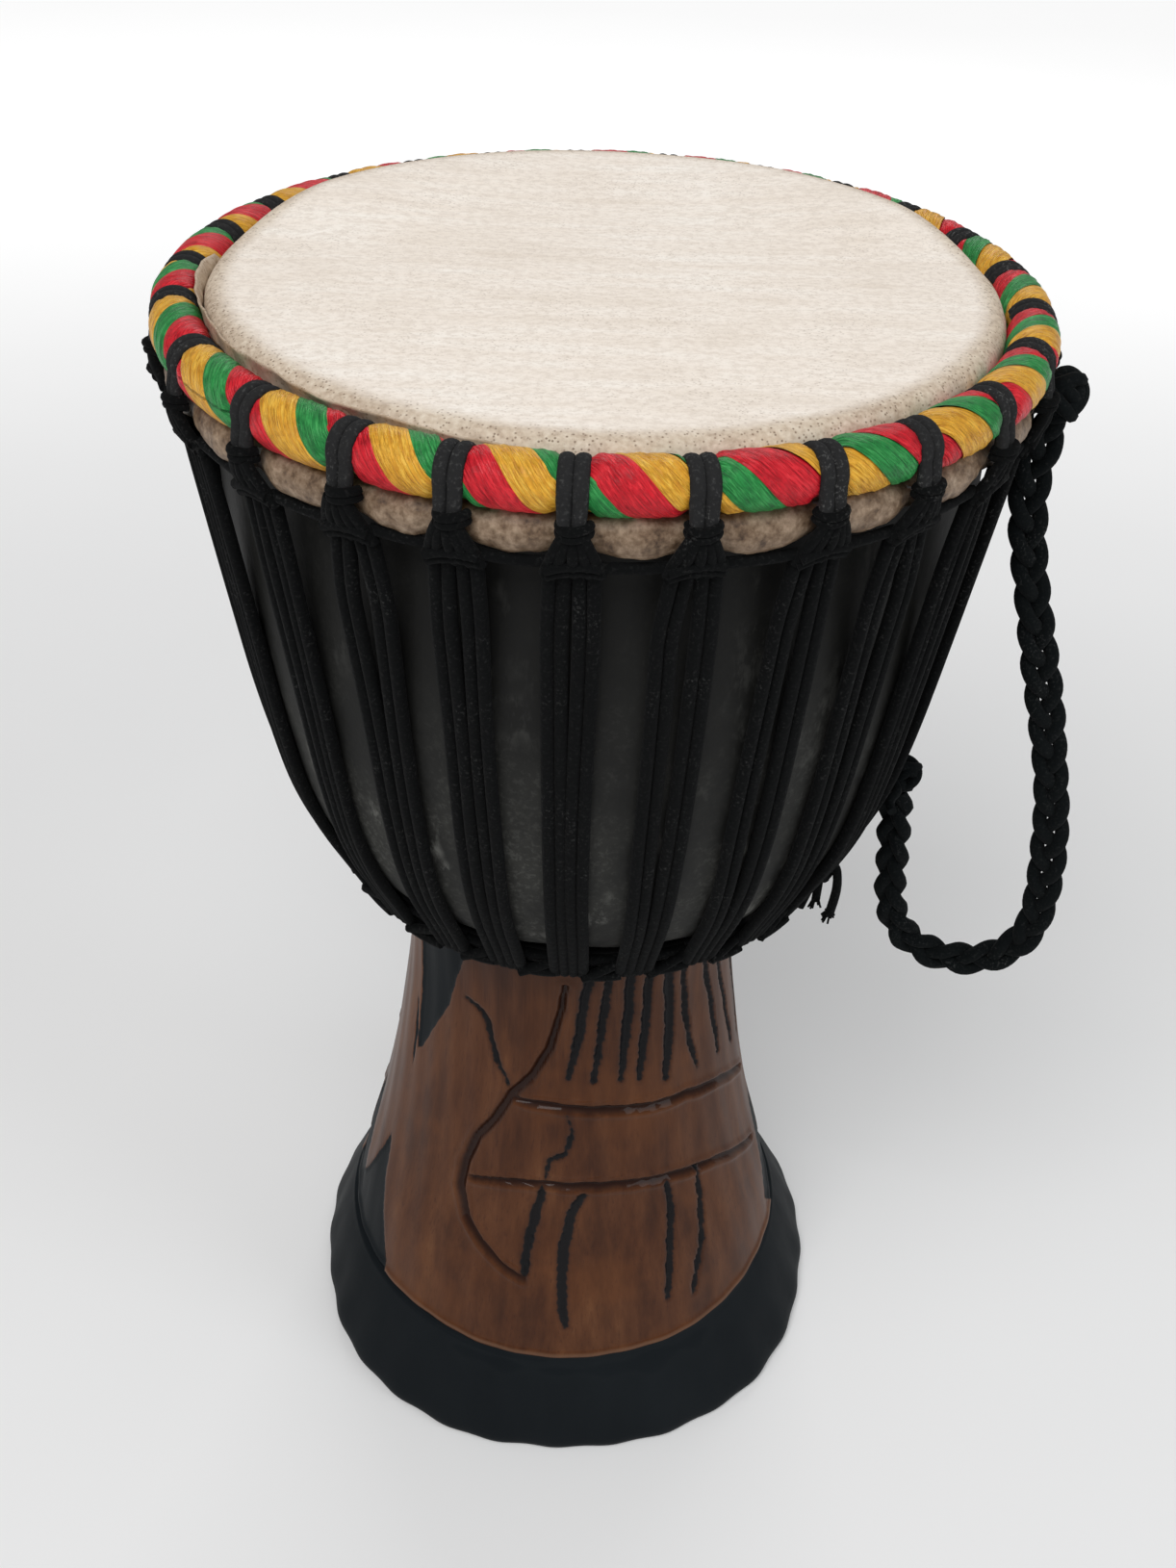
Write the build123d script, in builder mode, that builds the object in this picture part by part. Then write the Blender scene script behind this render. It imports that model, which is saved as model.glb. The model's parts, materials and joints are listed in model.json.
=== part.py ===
"""A rope-tuned djembe: one carved wooden shell, a goatskin head and the rope lacing that holds it.

The drum stands on its foot. The floor is z = 0, Z is the bowl's axis and -Y is the front.
An azimuth is in degrees from the front, positive towards +X. A flat outline of the lacing is
drawn in a radial plane, where the first number is the distance from the axis and the second
is the height.
"""
import math
import os

from build123d import *

os.makedirs("parts", exist_ok=True)

# ---- driving dimensions, in millimetres and degrees ----
crown_radius = 157.5  # to the middle of the crown ring
crown_height = 550.5
crown_steel_radius = 4.5
crown_cloth_radius = 8.8  # steel rod and its cloth together

flesh_radius = 157.0
flesh_height = 535.5
flesh_steel_radius = 4.0
skin_roll_radius = 5.8

skin_thickness = 1.2
skin_top = 559.6
rim_radius = 146.4
rim_top = 558.3
rim_round = 3.4  # the skin turns over this rounded edge of the wood
skirt_height = 534.0  # the wall is straight from here to the rim

belly_radius = 148.2  # where the bowl is widest
belly_height = 505.0
bowl_arc_radii = (620.0, 180.0, 51.5)  # the bowl's outline from the belly down
bowl_arc_ends = (11.9, 25.0, 70.0)  # lean of the wall at the end of each arc
bowl_wall = 16.0
bowl_floor = 305.0  # the bowl's wood ends here, inside the top of the stem
throat_mouth = (54.0, 296.0)  # where the bowl's hollow opens into the stem's

stem_shift = -5.5  # the stem was carved a little off the bowl's axis
stem_top = 311.0
stem_outline = [(79.5, stem_top), (77.2, 246), (84.0, 188), (95.4, 126), (107.8, 79), (114.2, 49)]
foot_outline = [(115.8, 46.5), (127.5, 24), (135.6, 7), (133.5, 0)]
throat_outline = [(56, 300), (55, 246), (62, 188), (74, 126), (87, 79), (102, 36), (112, 0)]

bottom_ring_radius = 105.0
bottom_ring_height = 312.5
bottom_ring_steel = 4.0

rope_radius = 2.1
hitch_rope_radius = 1.7
rope_gap = 0.4  # between a rope and what it lies on
strand_offsets = {
    "lace_outer_left": 6.45,
    "lace_inner_left": 2.15,
    "lace_inner_right": -2.15,
    "lace_outer_right": -6.45,
}

loop_count = 25
first_loop = -2.6
loop_pitch = 360 / loop_count
# Tied by hand, so each loop sits a degree or two off an even spacing.
loop_wander = [0, -0.7, -0.7, -1.7, -1.4, 0.8, 0.9, 1.4, 1.4, 0.6, -0.5, -1.2, 0.4, 1.1, 0.3, -0.8]
loop_wander += [-1.5, -0.2, -2.1, -2.5, -3.5, -0.4, 2.1, 2.7, 1.2]

knot_half_width = 8.8
knot_outline = [(163.6, 533.0), (168.6, 533.0), (169.0, 527.5), (163.5, 522.5)]
knot_outline += [(157.0, 522.5), (156.0, 526.5), (158.5, 528.9), (162.4, 531.0)]
knot_top = 533.0
knot_bottom = 522.5
knot_gap = 0.5  # each strand stops this far from the knot that holds it
lace_start_radius = 159.8
link_height = 526.0
link_radius = 160.5
bottom_link_height = 308.0
bottom_link_radius = 111.5
hitch_height = 541.0

handle_rope_radius = 6.0
handle_knot_radius = 8.2
handle_knot_place = (171.5, 533.5)
handle_hitch_place = (139.5, 357.0)
handle_bar_place = (136.3, 357.0)
handle_bar_length = 50.0
handle_route = [
    (169.8, 525.1), (166.3, 510), (166.6, 490), (172.1, 465), (180.2, 436), (189.8, 404),
    (197.9, 374), (204.2, 344), (207.6, 312), (207.6, 282), (195.2, 263.5), (174.5, 256.8),
    (153.8, 263.5), (143.0, 282), (141.2, 303), (139.6, 323), (137.6, 338), (138.4, 348.3),
]

tail_azimuth = 61.9
tail_knot_radius = 3.6
tail_knot_place = (116.2, 321.0)
tail_route = [(117.6, 328.2), (121.8, 326.4), (123.6, 320.0), (123.8, 310.5), (122.2, 300.0)]

start_knot_azimuth = -84.8
start_knot_radius = 4.8
start_knot_place = (167.8, 522.0)


# ---- shared geometry ----
def radial_plane(azimuth, sideways=0.0):
    """The upright plane through the axis at an azimuth, moved sideways by a few millimetres."""
    turn = math.radians(azimuth)
    outward = Vector(math.sin(turn), -math.cos(turn), 0)
    normal = Vector(-math.cos(turn), -math.sin(turn), 0)
    return Plane(origin=normal * sideways, x_dir=outward, z_dir=normal)


def on_radial(azimuth, place):
    """A point of the radial plane in the drum's own frame."""
    return radial_plane(azimuth).from_local_coords(Vector(place[0], place[1], 0))


def flat(point):
    """A point of an outline as a pair, which build123d reads in the plane being drawn on."""
    return (point.X, point.Y)


def arc_about(centre, radius, start, end):
    """An arc about a centre, drawn from one angle to another."""
    turns = [math.radians(angle) for angle in (start, (start + end) / 2, end)]
    return ThreePointArc(*[flat(centre + Vector(math.cos(t), math.sin(t)) * radius) for t in turns])


def wall_normal(lean):
    """The outward direction of the bowl's wall where it leans in by so many degrees."""
    return Vector(math.cos(math.radians(lean)), -math.sin(math.radians(lean)))


def bowl_centres():
    """The centres of the three tangent arcs of the bowl's outline."""
    centres = []
    lean = 0.0
    point = Vector(belly_radius, belly_height)
    for radius, end in zip(bowl_arc_radii, bowl_arc_ends):
        centre = point - wall_normal(lean) * radius
        centres.append(centre)
        point = centre + wall_normal(end) * radius
        lean = end
    return centres


def bowl_arcs(offset, first_lean, last_lean):
    """Draw the bowl's arcs, moved outwards by offset, between two leans of the wall."""
    arcs = []
    start = 0.0
    for centre, radius, end in zip(bowl_centres(), bowl_arc_radii, bowl_arc_ends):
        low = max(start, first_lean)
        high = min(end, last_lean)
        if high > low:
            arcs.append(arc_about(centre, radius + offset, -low, -high))
        start = end
    return arcs


def round_rope(route, radius):
    """Sweep a round rope along a route, into the part that is being built."""
    with BuildSketch(Plane(origin=route @ 0, z_dir=route % 0)) as section:
        Circle(radius)
    sweep(section.sketch, path=route)


def arc_radii(route):
    """The largest tangent arc that each corner of a free cord's route leaves room for."""
    points = [Vector(x, y) for x, y in route]
    radii = []
    for before, corner, after in zip(points, points[1:], points[2:]):
        run_in = corner - before
        run_out = after - corner
        turn = math.radians(run_in.get_angle(run_out))
        radii.append(0.45 * min(run_in.length, run_out.length) / math.tan(turn / 2))
    return radii


def finish(part, label):
    """Label a finished piece and write it."""
    part.part.label = label
    export_step(part.part, f"parts/{label}.step")


loop_azimuths = [first_loop + loop_pitch * k + loop_wander[k] for k in range(loop_count)]
loop_turns = [Location((0, 0, 0), (0, 0, azimuth)) for azimuth in loop_azimuths]
handle_azimuth = (loop_azimuths[5] + loop_azimuths[6]) / 2


# ---- the shell: bowl, stem and foot, carved from one log ----
stem_axis = Axis((stem_shift, 0, 0), (0, 0, 1))
stem_plane = Plane.XZ.move(Location((stem_shift, 0, 0)))
bowl_end = bowl_arc_ends[-1]

with BuildPart() as shell:
    with BuildSketch(Plane.XZ):
        with BuildLine():
            outside = bowl_arcs(0, 0, bowl_end)
            Line((belly_radius, belly_height), (rim_radius, skirt_height))
            Line((rim_radius, skirt_height), (rim_radius, rim_top - rim_round))
            edge_centre = Vector(rim_radius - rim_round, rim_top - rim_round)
            rounded = arc_about(edge_centre, rim_round, 0, 90)
            inner_foot = (stem_outline[0][0] - 2, bowl_floor)
            Polyline(rounded @ 1, (0, rim_top), (0, bowl_floor), inner_foot, outside[-1] @ 1)
        make_face()
    revolve(axis=Axis.Z)
    with BuildSketch(stem_plane):
        with BuildLine():
            flank = Spline(*stem_outline)
            ridge = Line(flank @ 1, foot_outline[0])
            flare = ThreePointArc(*foot_outline[:3])
            Polyline(flare @ 1, foot_outline[3], (0, 0), (0, stem_top), flank @ 0)
        make_face()
    revolve(axis=stem_axis)
    with BuildSketch(Plane.XZ):
        with BuildLine():
            inside = bowl_arcs(-bowl_wall, 0, bowl_end)
            mouth = (belly_radius - bowl_wall, rim_top)
            hub = (0, throat_mouth[1])
            Polyline(inside[0] @ 0, mouth, (0, rim_top), hub, throat_mouth, inside[-1] @ 1)
        make_face()
    revolve(axis=Axis.Z, mode=Mode.SUBTRACT)
    with BuildSketch(stem_plane):
        with BuildLine():
            bore = Spline(*throat_outline)
            Polyline(bore @ 1, (0, 0), (0, throat_outline[0][1]), bore @ 0)
        make_face()
    revolve(axis=stem_axis, mode=Mode.SUBTRACT)
finish(shell, "shell")

# ---- the goatskin: playing face, side wall and the roll round the flesh ring ----
skin_inner = rim_radius + 0.1
skin_outer = skin_inner + skin_thickness
skin_under = skin_top - skin_thickness
with BuildPart() as drumhead_skin:
    with BuildSketch(Plane.XZ):
        with BuildLine():
            Polyline(
                (0, skin_top), (skin_outer - 2.2, skin_top), (skin_outer, skin_top - 2.2),
                (skin_outer, 537.5), (153.6, 532.6), (152.9, 531.6), (skin_inner, 536.9),
                (skin_inner, skin_under - 1.4), (skin_inner - 1.4, skin_under), (0, skin_under),
                close=True,
            )
        make_face()
        with Locations((flesh_radius, flesh_height)):
            Circle(skin_roll_radius)
            Circle(flesh_steel_radius + 0.1, mode=Mode.SUBTRACT)
    revolve(axis=Axis.Z)
finish(drumhead_skin, "drumhead_skin")


# ---- the three steel rings ----
def steel_ring(radius, height, rod_radius, label):
    with BuildPart() as ring:
        with Locations((0, 0, height)):
            Torus(radius, rod_radius)
    finish(ring, label)


steel_ring(flesh_radius, flesh_height, flesh_steel_radius, "flesh_ring")
steel_ring(crown_radius, crown_height, crown_steel_radius, "crown_ring")
steel_ring(bottom_ring_radius, bottom_ring_height, bottom_ring_steel, "bottom_ring")

# ---- the cloth on the crown ring: three strips that take turns round it ----
cloth_colours = ("red", "yellow", "green")
cloth_step = loop_pitch / len(cloth_colours)
for index, colour in enumerate(cloth_colours):
    with BuildPart() as wrap:
        with BuildSketch(radial_plane(index * cloth_step)):
            with Locations((crown_radius, crown_height)):
                Circle(crown_cloth_radius)
                Circle(crown_steel_radius + 0.1, mode=Mode.SUBTRACT)
        revolve(axis=Axis.Z, revolution_arc=cloth_step - 0.1)
    with BuildPart() as cloth:
        with PolarLocations(0, loop_count):
            add(wrap.part)
    finish(cloth, f"crown_cloth_{colour}")

# ---- the crown loops: two strands over the crown ring at each tie ----
over_crown = crown_cloth_radius + rope_radius + rope_gap / 2
loop_start = 140.0
loop_end = -10.0
end_turn = math.radians(loop_end)
crown_centre = Vector(crown_radius, crown_height)
loop_foot = crown_centre + Vector(math.cos(end_turn), math.sin(end_turn)) * over_crown
entry_height = knot_top + knot_gap
drop = loop_foot.Y - entry_height
knot_entry = (loop_foot.X + drop * math.tan(end_turn), entry_height)

with BuildPart() as loop_pair:
    for sideways in (-rope_radius - 0.05, rope_radius + 0.05):
        with BuildLine(radial_plane(0, sideways)) as loop_line:
            arc_about(crown_centre, over_crown, loop_start, loop_end)
            Line(flat(loop_foot), knot_entry)
        round_rope(loop_line.line, rope_radius)
with BuildPart() as crown_loops:
    with Locations(*loop_turns):
        add(loop_pair.part)
finish(crown_loops, "crown_loops")

# ---- the hitch that binds each pair of strands under the crown ring ----
hitch_side = 2 * rope_radius + 0.2 + hitch_rope_radius
hitch_front = 171.5
with BuildPart() as hitch:
    with BuildLine(Plane.XY.offset(hitch_height)) as hitch_line:
        FilletPolyline(
            (-hitch_side, -164.6), (-hitch_side, -hitch_front),
            (hitch_side, -hitch_front), (hitch_side, -164.6),
            radius=4,
        )
    round_rope(hitch_line.line, hitch_rope_radius)
with BuildPart() as crown_hitches:
    with Locations(*loop_turns):
        add(hitch.part)
finish(crown_hitches, "crown_hitches")

# ---- the knots under the flesh ring, and the strand that runs from knot to knot ----
with BuildPart() as knot:
    with BuildSketch(radial_plane(0)):
        Polygon(*knot_outline, align=None)
    extrude(amount=knot_half_width, both=True)
with BuildPart() as crown_knots:
    with Locations(*loop_turns):
        add(knot.part)
finish(crown_knots, "crown_knots")


def ring_links(radius, height, label):
    """A short straight strand from the side of each tie to the side of the next one."""
    with BuildPart() as links:
        for index, azimuth in enumerate(loop_azimuths):
            following = loop_azimuths[(index + 1) % loop_count]
            side = knot_half_width + 0.9
            start = radial_plane(azimuth, -side).from_local_coords(Vector(radius, height, 0))
            end = radial_plane(following, side).from_local_coords(Vector(radius, height, 0))
            with BuildLine() as link_line:
                Line(start, end)
            round_rope(link_line.line, rope_radius - 0.1)
    finish(links, label)


ring_links(link_radius, link_height, "crown_links")
ring_links(bottom_link_radius, bottom_link_height, "bottom_links")

# ---- the lacing: four strands side by side from each knot down to the bottom ring ----
rope_lift = rope_radius + rope_gap
arc_one, arc_two, arc_three = bowl_centres()

# Straight from the knot to where it meets the bowl's upper arc.
lace_start = Vector(lace_start_radius, knot_bottom - knot_gap)
to_start = lace_start - arc_one
upper_lift = bowl_arc_radii[0] + rope_lift
meet_angle = math.degrees(math.acos(upper_lift / to_start.length))
start_lean = -math.degrees(math.atan2(to_start.Y, to_start.X)) + meet_angle

# Straight from the bowl's lower arc to the outside of the bottom ring.
ring_centre = Vector(bottom_ring_radius, bottom_ring_height)
round_ring = bottom_ring_steel + rope_lift
to_ring = ring_centre - arc_three
lower_lift = bowl_arc_radii[2] + rope_lift
leave_angle = math.degrees(math.acos((lower_lift - round_ring) / to_ring.length))
leave_lean = -math.degrees(math.atan2(to_ring.Y, to_ring.X)) - leave_angle
tuck_lean = 125.0  # how far round the bottom ring each strand goes

for label, sideways in strand_offsets.items():
    with BuildPart() as strand:
        with BuildLine(radial_plane(0, sideways)) as lace_line:
            Line(flat(lace_start), flat(arc_one + wall_normal(start_lean) * upper_lift))
            bowl_arcs(rope_lift, start_lean, leave_lean)
            Line(
                flat(arc_three + wall_normal(leave_lean) * lower_lift),
                flat(ring_centre + wall_normal(leave_lean) * round_ring),
            )
            arc_about(ring_centre, round_ring, -leave_lean, -tuck_lean)
        round_rope(lace_line.line, rope_radius)
    with BuildPart() as strands:
        with Locations(*loop_turns):
            add(strand.part)
    finish(strands, label)


# ---- small knots ----
def ball_knot(azimuth, place, radius, label):
    with BuildPart() as ball:
        with Locations(on_radial(azimuth, place)):
            Sphere(radius)
    finish(ball, label)


ball_knot(start_knot_azimuth, start_knot_place, start_knot_radius, "lace_start_knot")
ball_knot(tail_azimuth, tail_knot_place, tail_knot_radius, "tail_knot")

# ---- the handle's two ties, and the braided handle that hangs from them ----
handle_plane = radial_plane(handle_azimuth)
with BuildPart() as handle_knot:
    with BuildLine(handle_plane) as tie_line:
        arc_about(crown_centre, over_crown, loop_start, loop_end)
        Line(flat(loop_foot), handle_knot_place)
    round_rope(tie_line.line, rope_radius)
    with Locations(on_radial(handle_azimuth, handle_knot_place)):
        Sphere(handle_knot_radius)
finish(handle_knot, "handle_knot")

with BuildPart() as handle_hitch:
    with Locations(on_radial(handle_azimuth, handle_hitch_place)):
        Sphere(handle_knot_radius)
    with BuildSketch(handle_plane):
        with Locations(handle_bar_place):
            Circle(hitch_rope_radius)
    extrude(amount=handle_bar_length / 2, both=True)
finish(handle_hitch, "handle_hitch")


def free_cord(label, azimuth, route, radius):
    """A free cord's plain tube along its route, in the radial plane at an azimuth."""
    with BuildPart() as cord:
        with BuildLine(radial_plane(azimuth)) as cord_line:
            FilletPolyline(*route, radius=arc_radii(route))
        round_rope(cord_line.line, radius)
    length = sum(edge.length for edge in cord_line.line.edges())
    radii = ", ".join(f"{value:.0f}" for value in arc_radii(route))
    ratio = cord.part.volume / (math.pi * radius**2 * length)
    print(f"{label}: length {length:.0f} mm, arcs {radii} mm, volume ratio {ratio:.3f}")
    finish(cord, label)


free_cord("braided_handle", handle_azimuth, handle_route, handle_rope_radius)
free_cord("tail_rope", tail_azimuth, tail_route, rope_radius)

hinge_low = on_radial(handle_azimuth, handle_hitch_place)
hinge_high = on_radial(handle_azimuth, handle_knot_place)
print("handle hinge from", hinge_low, "along", (hinge_high - hinge_low).normalized())
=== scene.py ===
# %% [markdown]
# A rope-tuned hand drum
# ======================
# The drum is a goblet carved from one log, a goatskin pulled over its mouth, three steel rings and one
# long black rope that pulls the rings together. The CAD part gives every piece its place, so the first
# cell loads it as a fixed frame. Nothing in the frame is moved: a richer piece is built where a CAD
# piece is, and then stands in for it.

import json
import math
import random

import bmesh
import bpy
import numpy as np
from mathutils import Matrix, Vector

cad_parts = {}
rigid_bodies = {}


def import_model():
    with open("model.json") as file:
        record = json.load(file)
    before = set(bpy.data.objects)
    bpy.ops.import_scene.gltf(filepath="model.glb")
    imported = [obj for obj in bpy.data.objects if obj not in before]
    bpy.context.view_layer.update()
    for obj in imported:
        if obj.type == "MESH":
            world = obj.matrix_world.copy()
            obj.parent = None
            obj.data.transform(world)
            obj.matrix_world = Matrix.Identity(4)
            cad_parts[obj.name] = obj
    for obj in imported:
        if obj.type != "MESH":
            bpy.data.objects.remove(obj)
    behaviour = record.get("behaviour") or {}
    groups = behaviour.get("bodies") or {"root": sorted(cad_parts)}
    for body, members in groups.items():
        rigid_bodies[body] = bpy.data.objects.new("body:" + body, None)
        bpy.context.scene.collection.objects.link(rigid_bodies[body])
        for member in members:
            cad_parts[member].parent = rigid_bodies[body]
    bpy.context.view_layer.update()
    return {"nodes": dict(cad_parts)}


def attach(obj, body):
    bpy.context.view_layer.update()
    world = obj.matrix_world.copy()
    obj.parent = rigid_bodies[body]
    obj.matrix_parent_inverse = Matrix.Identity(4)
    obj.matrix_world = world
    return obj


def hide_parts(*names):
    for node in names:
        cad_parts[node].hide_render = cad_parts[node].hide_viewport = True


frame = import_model()
MM = 0.001

# %% [markdown]
# The camera
# ----------
# The drum is seen from the front and from above, as a standing player sees it. A camera object's
# matrix holds its three axes as columns, so the view is built from three directions: where the camera
# looks, what is to the right in its picture, and what is up. Writing them out keeps the small tilt of
# a camera that is held by hand.

# %% Camera
camera_distance = 0.6022
camera_height = 0.7694
camera_down = math.radians(36.574)
camera_roll = math.radians(-2.054)
sensor = 24.0
lens_per_sensor = 1.043585

look = Vector((0, math.cos(camera_down), -math.sin(camera_down)))
level = Vector((1, 0, 0))
below = look.cross(level)
right = level * math.cos(camera_roll) + below * math.sin(camera_roll)
up = level * math.sin(camera_roll) - below * math.cos(camera_roll)

camera_data = bpy.data.cameras.new("camera")
camera_data.sensor_fit = "VERTICAL"
camera_data.sensor_height = sensor
camera_data.lens = sensor * lens_per_sensor
camera_data.clip_start = 0.01
camera_data.clip_end = 30
camera = bpy.data.objects.new("camera", camera_data)
axes = Matrix((right, up, -look)).transposed().to_4x4()
camera.matrix_world = Matrix.Translation((0, -camera_distance, camera_height)) @ axes
bpy.context.scene.collection.objects.link(camera)
bpy.context.scene.camera = camera
print("the camera's lens is", round(camera_data.lens, 2), "mm on a", sensor, "mm high sensor")

# %% [markdown]
# Writing node trees as sums
# --------------------------
# A material or a Geometry Nodes tree is a net of nodes. Wiring them one by one is slow to read, so a
# `Wire` holds one output socket, and Python's own + - * on it add Math nodes. A `Patch` adds any
# other node: its settings go in first, because some of them change which sockets it has, and then its
# values and links.

# %% Wire and Patch
class Wire:
    """One output of a node. Sums on wires add Math nodes."""

    def __init__(self, patch, socket):
        self.patch = patch
        self.socket = socket

    def math(self, operation, *others):
        inputs = dict(enumerate((self, *others)))
        return self.patch.node("ShaderNodeMath", inputs, operation=operation)

    def __add__(self, other):
        return self.math("ADD", other)

    def __radd__(self, other):
        return self.math("ADD", other)

    def __sub__(self, other):
        return self.math("SUBTRACT", other)

    def __rsub__(self, other):
        return self.patch.node("ShaderNodeMath", {0: other, 1: self}, operation="SUBTRACT")

    def __mul__(self, other):
        return self.math("MULTIPLY", other)

    def __rmul__(self, other):
        return self.math("MULTIPLY", other)

    def rise(self, low, high):
        """0 below low, 1 above high, and a smooth rise between them."""
        inputs = {"Value": self, "From Min": low, "From Max": high}
        return self.patch.node("ShaderNodeMapRange", inputs, interpolation_type="SMOOTHSTEP")


class Patch:
    """Adds nodes to one tree."""

    def __init__(self, tree):
        self.tree = tree

    def node(self, kind, inputs=None, output=0, stops=None, **settings):
        made = self.tree.nodes.new(kind)
        made.location = (len(self.tree.nodes) % 12 * 190, len(self.tree.nodes) // 12 * -260)
        for setting, value in settings.items():
            setattr(made, setting, value)
        if stops:
            ramp = made.color_ramp.elements
            while len(ramp) < len(stops):
                ramp.new(0.5)
            for element, (place, colour) in zip(ramp, stops):
                element.position = place
                element.color = (*colour, 1)
        for key, value in (inputs or {}).items():
            if isinstance(value, Wire):
                self.tree.links.new(value.socket, made.inputs[key])
            else:
                made.inputs[key].default_value = value
        return Wire(self, made.outputs[output])

    def attribute(self, name, output="Fac"):
        return self.node("ShaderNodeAttribute", output=output, attribute_name=name)

    def noise(self, place, scale, detail=3.0, rough=0.55):
        inputs = {"Vector": place, "Scale": scale, "Detail": detail, "Roughness": rough}
        return self.node("ShaderNodeTexNoise", inputs)

    def blend(self, share, first, second, how="MIX"):
        """A mix of two colours."""
        first = first if isinstance(first, Wire) else (*first, 1)
        second = second if isinstance(second, Wire) else (*second, 1)
        inputs = {0: share, 6: first, 7: second}
        return self.node("ShaderNodeMix", inputs, output=2, data_type="RGBA", blend_type=how)

    def ramp(self, value, stops):
        return self.node("ShaderNodeValToRGB", {"Fac": value}, stops=stops)

    def stretched(self, place, scale):
        """The place, with a pattern drawn out along an axis."""
        return self.node("ShaderNodeMapping", {"Vector": place, "Scale": scale})


class Finish(Patch):
    """One material. The steady numbers of its shader are set on the shader's own sockets."""

    def __init__(self, name):
        self.material = bpy.data.materials.new(name)
        self.material.use_nodes = True
        self.material.node_tree.nodes.clear()
        super().__init__(self.material.node_tree)
        self.place = self.node("ShaderNodeTexCoord", output="Object")

    def apart(self, vector):
        """The three numbers of a vector."""
        split = self.node("ShaderNodeSeparateXYZ", {"Vector": vector}).socket.node
        return [Wire(self, socket) for socket in split.outputs]

    def mottled(self, scale, detail=3.0, rough=0.55):
        """Noise over the piece. With three scales it is drawn out along an axis."""
        if isinstance(scale, tuple):
            return self.noise(self.stretched(self.place, scale), 1.0, detail, rough)
        return self.noise(self.place, scale, detail, rough)

    def surface(self, colour, roughness, bumps=(), **steady):
        """Ends the tree. Each bump is a height in metres and how strongly it shows."""
        normal = None
        for height, strength in bumps:
            inputs = {"Height": height, "Strength": strength, "Distance": 1.0}
            if normal:
                inputs["Normal"] = normal
            normal = self.node("ShaderNodeBump", inputs)
        inputs = {"Base Color": colour, "Roughness": roughness}
        if normal:
            inputs["Normal"] = normal
        inputs.update({key.replace("_", " "): value for key, value in steady.items()})
        shader = self.node("ShaderNodeBsdfPrincipled", inputs)
        last = self.tree.nodes.new("ShaderNodeOutputMaterial")
        self.tree.links.new(shader.socket, last.inputs["Surface"])
        print("finish", self.material.name, "has", len(self.tree.nodes), "nodes")
        return self.material


print("one helper class for sums of nodes, one for nodes, one for finishes")

# %% [markdown]
# Measures that the pieces share
# ------------------------------
# The drum is round, so a place on it is easiest to say as an azimuth (degrees from the front, positive
# to the right), a distance from the axis, a height, and a small step sideways. The sizes are in
# millimetres, as a drum maker would say them, and `around` turns them into metres.

# %% Places on the drum
tie_count = 25
first_tie = -2.6
tie_pitch = 360 / tie_count
tie_wander = [0, -0.7, -0.7, -1.7, -1.4, 0.8, 0.9, 1.4, 1.4, 0.6, -0.5, -1.2, 0.4, 1.1, 0.3, -0.8]
tie_wander += [-1.5, -0.2, -2.1, -2.5, -3.5, -0.4, 2.1, 2.7, 1.2]
ties = [first_tie + tie_pitch * k + tie_wander[k] for k in range(tie_count)]
handle_azimuth = (ties[5] + ties[6]) / 2
tail_azimuth = 61.9
rope_radius = 2.1


def around(azimuth, radius, height, sideways=0.0):
    """A place in metres from an azimuth in degrees and sizes in millimetres."""
    turn = math.radians(azimuth)
    x = radius * math.sin(turn) + sideways * math.cos(turn)
    y = -radius * math.cos(turn) + sideways * math.sin(turn)
    return Vector((x, y, height)) * MM


print(tie_count, "ties, and the handle hangs at", round(handle_azimuth, 1), "degrees")

# %% [markdown]
# Rope from a wire
# ----------------
# Every rope on the drum is a round cord along some path. Geometry Nodes turn a wire (a mesh with only
# edges) into rope: the wire becomes a curve, a circle is swept along it, and two numbers are kept on
# the surface for the finish to read: how far along the rope a point is, and which way round it faces.
# One tree serves every rope, and only its inputs change.

# %% The rope tree
def new_tree(name, inputs):
    """An empty Geometry Nodes tree with named inputs, and each input's own identifier."""
    tree = bpy.data.node_groups.new(name, "GeometryNodeTree")
    faces = tree.interface
    faces.new_socket("Geometry", in_out="INPUT", socket_type="NodeSocketGeometry")
    keys = {}
    for label, kind in inputs:
        socket = faces.new_socket(label, in_out="INPUT", socket_type="NodeSocket" + kind)
        keys[label] = socket.identifier
    faces.new_socket("Geometry", in_out="OUTPUT", socket_type="NodeSocketGeometry")
    patch = Patch(tree)
    start = tree.nodes.new("NodeGroupInput")
    given = {label: Wire(patch, start.outputs[label]) for label in ("Geometry", *keys)}
    return patch, given, keys


def end_tree(patch, geometry, material):
    """Realize Instances and Set Material, then the tree's output."""
    solid = patch.node("GeometryNodeRealizeInstances", {"Geometry": geometry})
    smooth = patch.node("GeometryNodeSetShadeSmooth", {"Geometry": solid})
    painted = patch.node("GeometryNodeSetMaterial", {"Geometry": smooth, "Material": material})
    last = patch.tree.nodes.new("NodeGroupOutput")
    patch.tree.links.new(painted.socket, last.inputs[0])
    return patch.tree


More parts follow.
